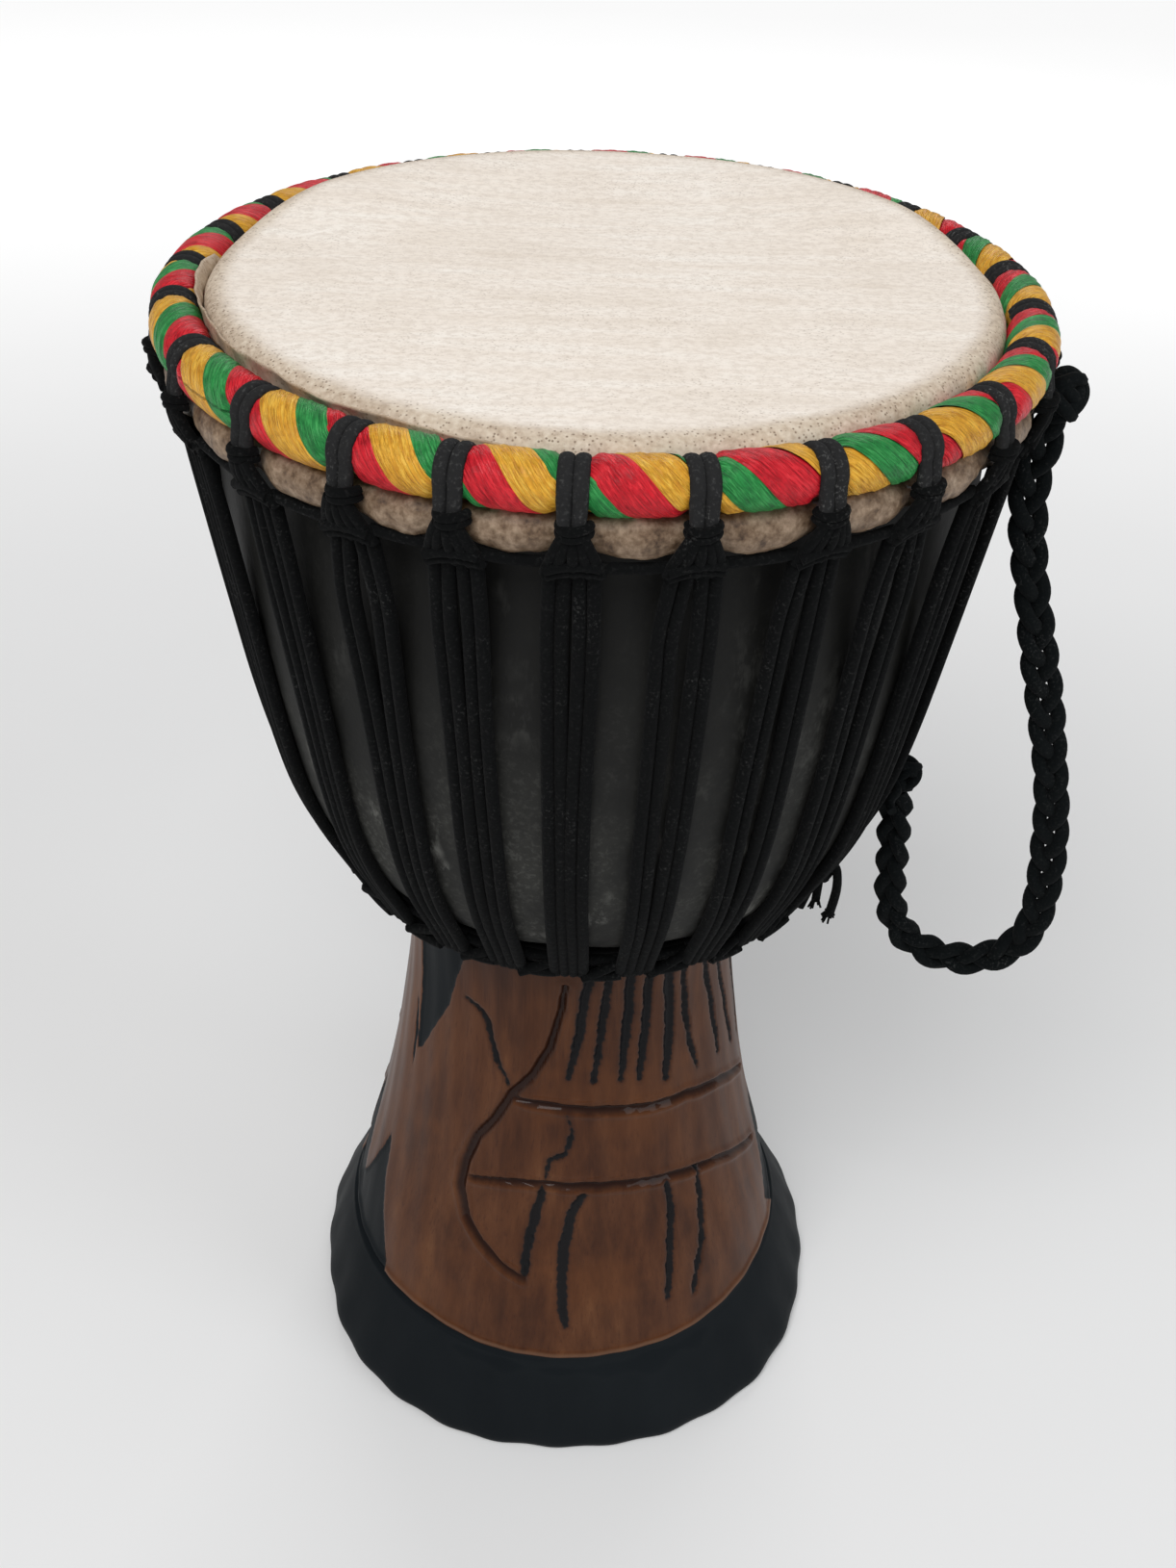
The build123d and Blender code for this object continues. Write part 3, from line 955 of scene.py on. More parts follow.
def skew_mouth(azimuths, radius, height):
    """How much higher the mouth stands at the back, as on a log cut a little out of level."""
    from_front = np.abs((azimuths + 180) % 360 - 180)
    stand = 5.6 * eased(from_front, 98, 126) - 0.9 * eased(from_front, 140, 178)
    return stand * eased(radius, 70, 140) * np.clip((height - 545.5) / 12.5, 0, 1)


print("the skin's outline has", len(skin_line) + len(roll_angles) + len(inner_side), "rows")

# %% The goatskin's surface
swell = ripple(azimuths, (31, 47, 58, 73, 96), 0.22, uneven)
drop = ripple(azimuths, (13, 21, 37), 0.35, uneven)
rows = []
for radius, height in skin_line:
    pucker = 0.35 * pinch * max(0.0, min(1.0, (radius - 143) / 4.5))
    warp = ripple(azimuths, (5, 9), 0.10, random.Random(int(radius))) if radius > 100 else 0
    stand = skew_mouth(azimuths, radius, height)
    rows.append(ring_points(azimuths, radius - pucker, height + stand + warp))
for angle in roll_angles:
    t = math.radians(angle)
    crease = 0.24 * np.sin(np.radians(azimuths) * 88 + 3 * math.sin(2 * t))
    crease = crease * np.sin(4 * t + swell * 5)
    across = 4.3 + 2.5 * (1 - pinch) + swell + crease
    tall = 4.9 + 3.0 * (1 - pinch) + swell * 0.6 + crease
    r = roll[0] + 0.2 + across * math.cos(t)
    z = roll[1] - 0.6 - 0.8 * (1 - pinch) + drop * 0.6 + tall * math.sin(t)
    rows.append(ring_points(azimuths, r, z))
for radius, height in inner_side:
    rows.append(ring_points(azimuths, radius, height + skew_mouth(azimuths, radius, height)))
skin = rows_to_mesh("goatskin_head", np.array(rows), capped=True)
facing_out(skin)

# %% The trimmed edge of the skin
flap_columns = 150
flap_azimuths = np.linspace(-96, -9, flap_columns)
flap_share = np.linspace(0, 1, flap_columns)
flap_uneven = 0.75 + 0.25 * np.sin(flap_share * 19) * np.sin(flap_share * 7 + 1)
flap_high = 6.6 * np.sin(np.pi * flap_share) ** 0.45 * flap_uneven
flap_lean = 1.4 + 1.1 * np.sin(flap_share * 11 + 0.5)
flap_points = []
flap_rows = 7
for k in range(flap_rows):
    s = k / (flap_rows - 1)
    radius = 147.9 + flap_lean * s**1.6 + 0.25 * np.sin(flap_share * 90 + 2 * s)
    height = 553.5 + (2.0 + flap_high) * s
    flap_points.append(ring_points(flap_azimuths, radius, height))
flap_points = np.array(flap_points)
flap_faces = [
    (first + i, first + i + 1, first + flap_columns + i + 1, first + flap_columns + i)
    for first in range(0, (flap_rows - 1) * flap_columns, flap_columns)
    for i in range(flap_columns - 1)
]
flap = add_mesh("goatskin_edge", flap_points.reshape(-1, 3), faces=flap_faces)
thick = flap.modifiers.new("thickness", "SOLIDIFY")
thick.thickness = 0.6 * MM
thick.offset = 0
flap.data.shade_smooth()
print("the trimmed edge stands up to", round(float(flap_points[..., 2].max()), 4), "m")

# %% [markdown]
# The finish of the skin
# ----------------------
# Goatskin is off-white and matte, with the fine dark dots of hair roots, close together near the rim.
# Faint streaks cross it. Where it bends over the rim and round the roll it is browner and a little
# clearer, because it is thicker and was wetter there. The distance from the axis and the height say
# where on the skin a point is.

# %% Finish: goatskin
def goatskin(name, browned=0.0):
    finish = Finish(name)
    x, y, z = finish.apart(finish.place)
    out = (x * x + y * y).math("SQRT")
    cloud = finish.mottled(16.0, 4.0)
    streak_place = finish.stretched(finish.place, (9.0, 70.0, 30.0))
    streak = finish.noise(streak_place, 1.6, 5.0, 0.65)
    edge = (out + (cloud - 0.5) * (9 * MM)).rise(135 * MM, 143.5 * MM)
    down = finish.node("ShaderNodeMapRange", {"Value": z, "From Min": 0.5525, "From Max": 0.545})
    root_cells = finish.node("ShaderNodeTexVoronoi", {"Vector": finish.place, "Scale": 620.0})
    roots = 1.0 - root_cells.rise(0.10, 0.34)
    patches = finish.mottled(34.0).rise(0.36, 0.7)
    fine = finish.mottled(480.0)
    nap = finish.mottled((260.0, 420.0, 420.0), 4.0, 0.75)
    pale_stops = [
        (0.32, (0.74, 0.65, 0.555)), (0.5, (0.84, 0.76, 0.675)), (0.7, (0.90, 0.85, 0.78)),
    ]
    tan_stops = [
        (0.36, (0.30, 0.205, 0.13)), (0.50, (0.52, 0.415, 0.305)), (0.66, (0.70, 0.61, 0.49)),
    ]
    hide_stops = [
        (0.34, (0.045, 0.023, 0.012)), (0.46, (0.15, 0.095, 0.056)),
        (0.60, (0.30, 0.215, 0.145)), (0.74, (0.44, 0.35, 0.26)),
    ]
    pale = finish.ramp(streak * 0.6 + cloud * 0.4, pale_stops)
    tan = finish.ramp(cloud * 0.5 + fine * 0.5, tan_stops)
    pale = finish.blend(nap.rise(0.42, 0.62) * 0.46, pale, (0.60, 0.515, 0.435))
    tint = finish.blend(edge * 0.85, pale, tan)
    marks = roots * (edge * 0.80 + patches * 0.30 + 0.08)
    tint = finish.blend(marks, tint, (0.23, 0.165, 0.115))
    blotch = finish.mottled(130.0, 4.0, 0.7)
    hide = finish.ramp(blotch * 0.65 + fine * 0.35, hide_stops)
    tint = finish.blend(down, tint, hide)
    tint = finish.blend(browned, tint, (0.30, 0.185, 0.095))
    rough = 0.62 - down * 0.10 + (fine - 0.5) * 0.2
    hairs = fine * (0.20 * MM) + nap * (0.45 * MM) + roots * (-0.10 * MM)
    wrinkles = blotch * down * (0.9 * MM)
    return finish.surface(tint, rough, [(hairs, 0.5), (wrinkles, 0.5)], Specular_IOR_Level=0.35)


skin.data.materials.append(goatskin("goatskin"))
flap.data.materials.append(goatskin("goatskin_edge", 0.38))

# %% [markdown]
# The cloth on the crown ring
# ---------------------------
# Three strips of satin, red, yellow and green, are wound side by side round the ring, so each makes
# the same long spiral. A strip is a grid: one way runs along it, the other across it. Each edge is
# tucked under the next strip, the middle is a little full, and everything is pulled in where a loop
# of rope binds it. The weaver's numbers `along` and `across` are kept for the finish.

# %% Three strips
strip_turns = 22
strip_step = 360 / strip_turns
first_red = -60.0
strip_widths = {"red": 0.37 * strip_step, "yellow": 0.36 * strip_step, "green": 0.27 * strip_step}
strip_starts = {
    "red": first_red,
    "yellow": first_red + (strip_widths["red"] + strip_widths["yellow"]) / 2,
    "green": first_red + (strip_widths["red"] + strip_widths["green"]) / 2 + strip_widths["yellow"],
}
turn_steps = 64
strip_tucked = 0.7  # degrees that a strip runs on under the next one
strip_overlap = 0.12  # and over the one before


def strip_drift(azimuth):
    """Wound by hand, so the spiral runs a degree or two ahead or behind."""
    return 0.4 - 1.8 * np.cos(np.radians(4 * (azimuth - 8)))


def wound_strip(colour):
    steps = strip_turns * turn_steps
    chance = random.Random(len(colour))
    rows = []
    widths = np.linspace(-1, 1, 15)
    middle = strip_starts[colour] + np.arange(steps) * strip_step / turn_steps
    minor = -np.radians(np.arange(steps) * 360 / turn_steps)
    fold = [chance.uniform(0, 6.28) for _ in range(4)]
    for u in widths:
        half = strip_widths[colour] / 2 + (strip_tucked if u > 0 else strip_overlap)
        azimuth = middle + strip_drift(middle) + u * half
        bound = hump(from_tie(azimuth), 2.15, 6)
        shoulder = hump(from_tie(azimuth), 3.4)
        full = 8.75 + 0.55 * (1 - shoulder) - 1.75 * bound
        crown_up = 0.34 * (1 - u**4) - 0.62 * max(0.0, (u - 0.45) / 0.55) ** 1.5
        lines = 0.13 * np.sin(u * 9 + 1.2 * np.sin(minor + fold[0]) + middle * 0.4)
        lines += 0.10 * np.sin(u * 17 + 1.7 * np.sin(minor * 2.0 + fold[1]) + fold[2])
        gather = 0.16 * np.sin(minor * 9 + 3 * u + fold[3]) * shoulder
        size = full + crown_up + lines * (0.5 + 0.5 * (1 - bound)) + gather
        radius = crown[0] + size * np.cos(minor)
        height = crown[1] + size * np.sin(minor)
        rows.append(ring_points(azimuth, radius, height))
    rows = np.array(rows).transpose(1, 0, 2)
    count, across, _ = rows.shape
    index = np.arange(count * across).reshape(count, across)
    # The last row joins the first, since the spiral comes back to its start.
    after = np.roll(index, -1, axis=0)
    faces = np.stack([index[:, :-1], index[:, 1:], after[:, 1:], after[:, :-1]], axis=-1)
    faces = faces.reshape(-1, 4).tolist()
    strip = add_mesh(f"crown_wrap_{colour}", rows.reshape(-1, 3), faces=faces)
    strip.data.shade_smooth()
    centre = rows[:, across // 2]
    gaps = np.linalg.norm(np.diff(centre, axis=0, append=centre[:1]), axis=1)
    travelled = np.concatenate([[0], np.cumsum(gaps)[:-1]])
    keep(strip, "along", np.repeat(travelled, across))
    keep(strip, "across", np.tile(widths, count))
    area = sum(face.area for face in strip.data.polygons)
    length = gaps.sum()
    print(strip.name, "is", round(length, 3), "m long and", round(area / length, 4), "m wide")
    return strip, (area / length, length)


strips = {}
strip_sizes = {}
for colour in strip_widths:
    strips[colour], strip_sizes[colour] = wound_strip(colour)

# %% [markdown]
# Satin
# -----
# Satin shines because its threads float over several crossing ones. Long streaks along the strip stand
# for the threads, and the fine weave runs across them. The colour is painted darker in the folds and at
# the strip's edges as painted shade, and lighter on the threads on top as a painted highlight.

# %% Finish: satin in three colours
def satin(name, shaded_tone, clear, lit_tone):
    finish = Finish(name)
    along = finish.attribute("along")
    across = finish.attribute("across")
    lengthwise = finish.node("ShaderNodeCombineXYZ", {"X": along * 90.0, "Y": across * 9.0})
    thread = finish.noise(lengthwise, 1.0, 4.0, 0.6)
    crinkle = finish.mottled(260.0, 3.0, 0.6)
    weave = (along * 5200.0).math("SINE") * 0.5 + 0.5
    slanting = {"X": along * 55.0 + across * 1.2, "Y": across * 5.0, "Z": 3.0}
    bent = finish.noise(finish.node("ShaderNodeCombineXYZ", slanting), 1.0)
    folds = 1.0 - (bent - 0.5).math("ABSOLUTE").rise(0.0, 0.10)
    # Painted light: the ramp runs from a shaded tone through the satin's own colour to a lit tone, along
    # the threads, crinkles and fold ridges.
    stops = [(0.34, shaded_tone), (0.48, clear), (0.68, lit_tone)]
    tint = finish.ramp(thread * 0.5 + crinkle * 0.35 + folds * 0.12, stops)
    # Painted shade along the strip's edges, at the tucks between strips.
    edge = across.math("ABSOLUTE").rise(0.86, 1.0)
    tint = finish.blend(edge * 0.35, tint, shaded_tone)
    rough = 0.46 - thread * 0.2 + weave * 0.04
    height = thread * (0.30 * MM) + crinkle * (0.40 * MM)
    height = height + weave * (0.03 * MM) + folds * (0.35 * MM)
    return finish.surface(tint, rough, [(height, 1.0)], Specular_IOR_Level=0.26)


satins = {
    "red": satin("red_satin", (0.30, 0.004, 0.010), (0.60, 0.010, 0.022), (0.78, 0.034, 0.046)),
    "yellow": satin("yellow_satin", (0.46, 0.19, 0.012), (0.72, 0.36, 0.030), (0.84, 0.52, 0.08)),
    "green": satin("green_satin", (0.008, 0.11, 0.025), (0.02, 0.25, 0.055), (0.07, 0.40, 0.11)),
}
for colour, strip in strips.items():
    strip.data.materials.append(satins[colour])

# %% [markdown]
# The shell
# ---------
# Bowl, stem and foot are one log, turned and hollowed by hand with an adze. The visual model has it as
# two meshes that meet under the ropes of the bottom ring, because the stem needs a much finer grid for
# its carving. The bowl is the same three arcs as in the lacing, with a hollow inside it.

# %% The bowl
bowl_wall = 16.0
bowl_columns = 220
bowl_azimuths = np.arange(bowl_columns) * 360 / bowl_columns
bowl_rows = [(139.5, 558.2), (143.2, 556.6), (145.2, 553.8), (146.0, 549.0), (146.4, 543.0)]
bowl_rows += [(146.4, 534.0), (147.3, 520.0)]
bowl_rows += [tuple(p) for p in bowl_line(0, 0, 70)]
bowl_rows += [(77.5, 305.0), (66.0, 300.0), (54.0, 296.0)]
bowl_rows += [tuple(p) for p in reversed(bowl_line(-bowl_wall, 0, 66, 9.0))]
bowl_inside = belly_radius - bowl_wall
bowl_rows += [(bowl_inside, 530.0), (bowl_inside, 556.0), (134.0, 558.3)]
carved = random.Random(5)
bowl_points = []
facets = ripple(bowl_azimuths, (7, 11, 17, 29), 0.28, carved)
for radius, height in bowl_rows:
    small = ripple(bowl_azimuths, (23, 41), 0.5, random.Random(int(height)))
    chop = facets * math.sin(height * 0.045) + 0.15 * small
    quiet = 0 if height > 530 or radius < 60 else 1
    stand = skew_mouth(bowl_azimuths, radius, height)
    bowl_points.append(ring_points(bowl_azimuths, radius + chop * quiet, height + stand))
bowl = rows_to_mesh("shell_bowl", np.array(bowl_points), closed_rows=True)
facing_out(bowl)

# %% [markdown]
# The carving on the stem
# -----------------------
# The carver cut a comb of short gouges under the rope, two long grooves round the front with a branch
# that wanders down from one side, and a few curved gouges below. Each cut is a stroke: a chain of
# places (azimuth, height) with a half width. For every point of the stem the script finds
# the distance to the nearest stroke, lowers the wood there, and keeps the distance itself for the
# finish, which stains the cuts black.

# %% Strokes
comb = [
    [(7.4, 288), (7.4, 277), (5.3, 258), (4.0, 237), (1.0, 214)],
    [(13.5, 288), (13.5, 275), (12.5, 255), (11.1, 232), (9.3, 211)],
    [(20.9, 288), (20.9, 273), (21.0, 253), (20.0, 230), (18.6, 210)],
    [(27.9, 288), (27.7, 271), (27.8, 249), (26.6, 227), (25.1, 207)],
    [(35.0, 288), (35.5, 266), (37.1, 243), (36.6, 223), (35.0, 202)],
    [(42.4, 286), (42.7, 258), (44.4, 235), (45.9, 218), (49.2, 197)],
    [(50.0, 286), (53.4, 260), (58.3, 233), (60.8, 209), (61.9, 194)],
    [(60.0, 286), (63.6, 251), (69.8, 220), (72.4, 198), (73.9, 185)],
    [(76.0, 286), (80.0, 240), (84.9, 206), (84.8, 192), (83.4, 178)],
]
comb_widths = (2.3, 2.0, 2.4, 2.3, 2.9, 1.8, 2.0, 2.0, 1.8)
curved_gouges = [
    [(-5.8, 148), (-7.5, 133), (-9.4, 113), (-9.7, 96)],
    [(6.6, 145), (3.1, 135), (0.9, 113), (0.8, 87), (1.9, 68)],
    [(33.2, 141), (34.2, 123), (32.2, 100), (30.3, 72)],
    [(45.5, 138), (45.3, 118), (43.9, 98), (40.4, 81), (38.4, 67)],
    [(-37.0, 245), (-32.2, 243), (-28.0, 238), (-26.4, 228), (-23.4, 216), (-19.0, 206)],
    [(0.8, 192), (2.9, 182), (0.6, 169), (-4.1, 165), (-5.2, 154)],
]
curved_widths = (2.4, 2.6, 2.1, 1.9, 1.5, 1.1)
long_grooves = [
    [
        (-1.0, 268), (-2.0, 254), (-5.6, 230), (-11.0, 213), (-17.5, 200), (-22.8, 182), (-28.2, 168),
        (-31.5, 150), (-32.2, 135), (-28.5, 119), (-23.1, 109), (-16.2, 100), (-9.6, 94),
    ],
    [
        (-18.1, 198), (-10.5, 197.5), (-0.4, 196.5), (13.0, 194.4),
        (27.1, 190.5), (43.6, 186.4), (60.3, 177), (80.1, 159),
    ],
    [
        (-28.5, 143), (-18.8, 148), (-5.9, 151), (6.6, 150.4),
        (19.4, 148.3), (34.6, 143.6), (53.6, 134), (79.0, 110),
    ],
]
groove_widths = (2.6, 2.5, 2.4)
painted = [
    [
        (-66.3, 312), (-64.0, 254), (-62.0, 218), (-60.5, 190), (-57.4, 195),
        (-48.9, 222), (-44.9, 234), (-41.0, 255), (-37.0, 271), (-34.0, 312),
    ],
    [(-66.5, 230), (-65.0, 218), (-62.6, 173), (-61.5, 200)],
    [
        (-80.9, 68), (-74.5, 90), (-69.7, 112), (-67.4, 126),
        (-63.0, 96), (-57.5, 70), (-51.5, 45), (-85.5, 45),
    ],
    [(86.0, 45), (80.0, 62), (84.0, 95), (90.0, 128), (98.0, 90), (104.0, 45)],
]
back_turn = 180.0  # the back isn't known, so it repeats the front's cuts
print(len(comb) + len(curved_gouges) + len(long_grooves), "cuts on the front of the stem")

# %% The stem's turned form
stem_shift = -5.5
stem_outline = [(79.5, 311), (77.2, 246), (84.0, 188), (95.4, 126), (107.8, 79), (114.2, 49)]


def smooth_through(points, wanted):
    """Radius at the wanted heights on a smooth line through (radius, height), from top to bottom."""
    radius, height = np.array(points, float)[::-1].T
    slope = np.gradient(radius, height)
    k = np.clip(np.searchsorted(height, wanted) - 1, 0, len(height) - 2)
    gap = height[k + 1] - height[k]
    t = (wanted - height[k]) / gap
    near, far = slope[k] * gap, slope[k + 1] * gap
    bend = radius[k] * (2 * t**3 - 3 * t**2 + 1) + near * (t**3 - 2 * t**2 + t)
    return bend + radius[k + 1] * (3 * t**2 - 2 * t**3) + far * (t**3 - t**2)


stem_columns = 420
stem_azimuths = np.arange(stem_columns) * 360 / stem_columns - 180
stem_heights = [np.linspace(306, 290, 6)[:-1], np.linspace(290, 56, 176), np.linspace(54.8, 49, 6)]
stem_heights = np.concatenate(stem_heights)
stem_radii = smooth_through(stem_outline, stem_heights)
azimuth_grid, height_grid = np.meshgrid(stem_azimuths, stem_heights)
turn_grid = np.radians(azimuth_grid)
radius_grid = np.repeat(stem_radii[:, None], stem_columns, axis=1)
print("the stem's grid is", height_grid.shape, "and its waist", round(stem_radii.min(), 1), "mm")


# %% Distance to the cuts
def nothing_near():
    return np.full(height_grid.shape, 99.0)


def to_segment(x, x0, x1, z0, z1):
    """Distance from each grid point to a straight piece, and how far along it the nearest place is."""
    dx, dz = x1 - x0, z1 - z0
    along = ((x - x0) * dx + (height_grid - z0) * dz) / (dx * dx + dz * dz + 1e-9)
    t = np.clip(along, 0, 1)
    return np.hypot(x - x0 - t * dx, height_grid - z0 - t * dz), t


def to_stroke(stroke, half_width, shift=0.0):
    """Millimetres from each grid point to a stroke, less its half width, narrower at the ends."""
    best = nothing_near()
    pieces = len(stroke) - 1
    for k, ((a0, z0), (a1, z1)) in enumerate(zip(stroke, stroke[1:])):
        mid = math.radians(((a0 + a1) / 2) + shift)
        off = (turn_grid - mid + np.pi) % (2 * np.pi) - np.pi
        x0, x1 = ((math.radians(a + shift) - mid) * radius_grid for a in (a0, a1))
        away, t = to_segment(off * radius_grid, x0, x1, z0, z1)
        along = np.clip((k + t) / pieces, 0.02, 0.98)
        narrow = half_width * (0.45 + 0.55 * np.sqrt(np.sin(np.pi * along)))
        best = np.minimum(best, away - narrow)
    return best


def to_area(outline, shift=0.0):
    """Millimetres from each grid point to a painted area's edge, negative inside."""
    middle = sum(a for a, _ in outline) / len(outline) + shift
    off = (azimuth_grid - middle + 180) % 360 - 180
    x = np.radians(off) * radius_grid
    best = nothing_near()
    inside = np.zeros(height_grid.shape, bool)
    for (a0, z0), (a1, z1) in zip(outline, outline[1:] + outline[:1]):
        x0, x1 = (math.radians(a + shift - middle) * radius_grid for a in (a0, a1))
        best = np.minimum(best, to_segment(x, x0, x1, z0, z1)[0])
        if z1 != z0:
            crosses = (z0 > height_grid) != (z1 > height_grid)
            inside ^= crosses & (x < x0 + (height_grid - z0) / (z1 - z0) * (x1 - x0))
    return np.where(inside, -best, best)


wobble = 0.35 * np.sin(height_grid * 0.31 + 2.0 * np.sin(turn_grid * 7))
wobble = wobble * np.sin(turn_grid * 23 + height_grid * 0.11)
ragged = 0.45 * np.sin(height_grid * 0.83 + turn_grid * 31)
ragged = ragged * np.sin(height_grid * 0.47 - turn_grid * 19)
gouge, groove, paint = nothing_near(), nothing_near(), nothing_near()
for shift in (0.0, back_turn):
    for stroke, half in zip(comb + curved_gouges, comb_widths + curved_widths):
        gouge = np.minimum(gouge, to_stroke(stroke, half, shift) + wobble + ragged)
    for stroke, half in zip(long_grooves, groove_widths):
        groove = np.minimum(groove, to_stroke(stroke, half, shift) + wobble * 0.6)
    for outline in painted:
        paint = np.minimum(paint, to_area(outline, shift) + wobble)
foot_waver = np.cos(np.radians(stem_azimuths * 2 + 120))
foot_line = 49.5 + 1.5 * foot_waver + 0.5 * np.sin(np.radians(stem_azimuths * 7))
below_line = height_grid - foot_line
print("cut into the wood:", round(float((gouge < 0).mean() * 100), 1), "% of the stem's points")

# %% Carving
cut_depth = 2.3
bead_height = 1.8  # above the foot's line


def hollow(distance, width):
    """How deep a cut is, from 0 at its edge to 1 a width inside it."""
    return np.clip(-distance / width, 0, 1) ** 0.75


cut = cut_depth * hollow(gouge, 1.5) + cut_depth * hollow(groove, 1.7)
raised = 0.95 * hump(groove - 1.3, 1.2) * (groove > 0)
wide_marks = 0.16 * np.sin(turn_grid * 14 + 0.5 * np.sin(height_grid * 0.05))
plane_marks = wide_marks + 0.14 * np.sin(turn_grid * 37 + height_grid * 0.045)
step_in = 0.9 * np.clip(-paint / 1.2, 0, 1)
bead = 1.3 * hump(below_line - bead_height, 1.6)
carved_radius = radius_grid - cut + raised + plane_marks - step_in + bead
stem_rows = list(ring_points(azimuth_grid, carved_radius, height_grid, stem_shift))
print("the carving is up to", round(float(cut.max()), 1), "mm deep")

# %% The foot and the hollow
# The foot is a small shelf, then a flare that is lumpy where it meets the floor.
lump_at = [-180, -150, -120, -90, -75, -50, -25, 0, 25, 50, 75, 90, 120, 150, 180]
lump_size = [2.0, 0.0, 1.5, -3.5, -3.0, 1.5, 1.5, -1.0, 1.5, 4.5, 1.0, 0.5, 3.0, -0.5, 2.0]
lumps = np.interp(stem_azimuths, lump_at, lump_size)
soften = np.hanning(25) / np.hanning(25).sum()
lumps = np.convolve(np.concatenate([lumps[-12:], lumps, lumps[:12]]), soften, "valid")
lumps += ripple(stem_azimuths, (9, 17, 29), 0.5, carved)
foot_profile = [
    (115.6, 48.2, 0.0), (116.4, 46.4, 0.05), (118.0, 43.6, 0.1), (121.2, 37.5, 0.25),
    (124.4, 31.0, 0.4), (127.5, 24.0, 0.55), (130.4, 17.5, 0.7), (133.2, 11.5, 0.85),
    (134.8, 7.0, 0.95), (135.2, 4.0, 1.0), (134.9, 1.6, 1.0), (133.5, 0.2, 1.0), (131.0, 0.0, 1.0),
]
for radius, height, share in foot_profile:
    lift = (1 - share) * 1.2 * foot_waver if height > 5 else 0
    stem_rows.append(ring_points(stem_azimuths, radius + lumps * share, height + lift, stem_shift))
throat = [(112, 0), (107, 18), (102, 36), (87, 79), (74, 126), (62, 188), (55, 246), (56, 300), (68, 306)]
for radius, height in throat:
    stem_rows.append(ring_points(stem_azimuths, radius, height, stem_shift))
stem = rows_to_mesh("shell_stem", np.array(stem_rows), closed_rows=True)
far = 9.0


def keep_on_stem(name, distances, elsewhere):
    """Keeps a grid of distances. The foot and the hollow, which have no cuts, get one number."""
    rest = np.full((len(stem_rows) - len(stem_heights), stem_columns), elsewhere)
    keep(stem, name, np.concatenate([distances, rest]))


keep_on_stem("gouge", np.clip(gouge, -far, far), far)
keep_on_stem("groove", np.clip(groove, -far, far), far)
keep_on_stem("paint", np.clip(np.minimum(paint, below_line), -far, far), -far)
keep_on_stem("shelf", np.abs(below_line - bead_height), far)
facing_out(stem)

# %% [markdown]
# Varnished wood and black paint
# ------------------------------
# The stem is red-brown wood under glossy varnish, with the grain running up it, darker where the stain
# gathered. Its top, under the bowl, is darkened as painted shade, and the bead above the foot is
# lightened as a painted highlight. The foot, a few pointed patches and the whole bowl are painted black.
# The distances kept on the mesh draw every edge: where a distance passes through zero, the stain or the
# paint begins, and a little noise added to it keeps the edge from being a ruled line.

# %% Finish: carved wood
def carved_wood():
    finish = Finish("carved_wood")
    rough_edge = (finish.mottled(420.0) - 0.5) * 1.6
    gouge_edge = finish.attribute("gouge") + rough_edge
    groove_edge = finish.attribute("groove")
    paint_edge = finish.attribute("paint") + rough_edge * 0.6
    shelf = finish.attribute("shelf")
    grain = finish.mottled((95.0, 95.0, 7.0), 6.0, 0.62)
    pores = finish.mottled((900.0, 900.0, 45.0), 2.0)
    cloud = finish.mottled((22.0, 22.0, 12.0))
    stain = finish.mottled((38.0, 38.0, 9.0), 4.0, 0.7)
    wood_stops = [
        (0.30, (0.032, 0.0105, 0.0046)), (0.46, (0.070, 0.0240, 0.0095)),
        (0.58, (0.100, 0.0365, 0.0145)), (0.74, (0.150, 0.0620, 0.0255)),
    ]
    wood = finish.ramp(grain * 0.6 + cloud * 0.4, wood_stops)
    wood = finish.blend(pores.rise(0.55, 0.75) * 0.45, wood, (0.040, 0.014, 0.008))
    wood = finish.blend(stain.rise(0.48, 0.72) * 0.58, wood, (0.028, 0.0100, 0.0056))
    warm = finish.mottled(17.0, 3.0, 0.6).rise(0.50, 0.64)
    wood = finish.blend(warm * 0.32, wood, (0.130, 0.044, 0.013))
    # Painted shade: the stem's top, under the bowl's overhang, is darkened.
    high = finish.apart(finish.place)[2].rise(0.250, 0.300)
    wood = finish.blend(high * 0.70, wood, (0.030, 0.012, 0.008))
    dark_groove = 1.0 - groove_edge.rise(-1.2, 1.0)
    wood = finish.blend(dark_groove * 0.90, wood, (0.016, 0.0060, 0.0045))
    # Painted highlight along the raised bead above the foot.
    bead_highlight = (1.0 - shelf.rise(0.3, 1.7)) * 0.7
    wood = finish.blend(bead_highlight, wood, (0.15, 0.078, 0.045))
    black = finish.blend(cloud, (0.0050, 0.0068, 0.0085), (0.0115, 0.0145, 0.0170))
    soot = 1.0 - gouge_edge.rise(-0.4, 0.6)
    near_soot = 1.0 - gouge_edge.rise(0.2, 2.6)
    wood = finish.blend(near_soot * 0.35, wood, (0.03, 0.012, 0.008))
    wood = finish.blend(soot * 0.93, wood, black)
    painted_share = 1.0 - paint_edge.rise(-0.35, 0.35)
    tint = finish.blend(painted_share, wood, black)
    matte = painted_share.math("MAXIMUM", soot * 0.8)
    rough = 0.46 + (grain - 0.5) * 0.2 + matte * 0.14
    coat = 0.22 - matte * 0.16
    bumps = [(grain * (0.5 * MM) + pores * (0.12 * MM), 0.35), (cloud * (3.0 * MM), 0.30)]
    steady = {"Coat_Roughness": 0.07, "Specular_IOR_Level": 0.035}
    return finish.surface(tint, rough, bumps, Coat_Weight=coat, **steady)


stem.data.materials.append(carved_wood())

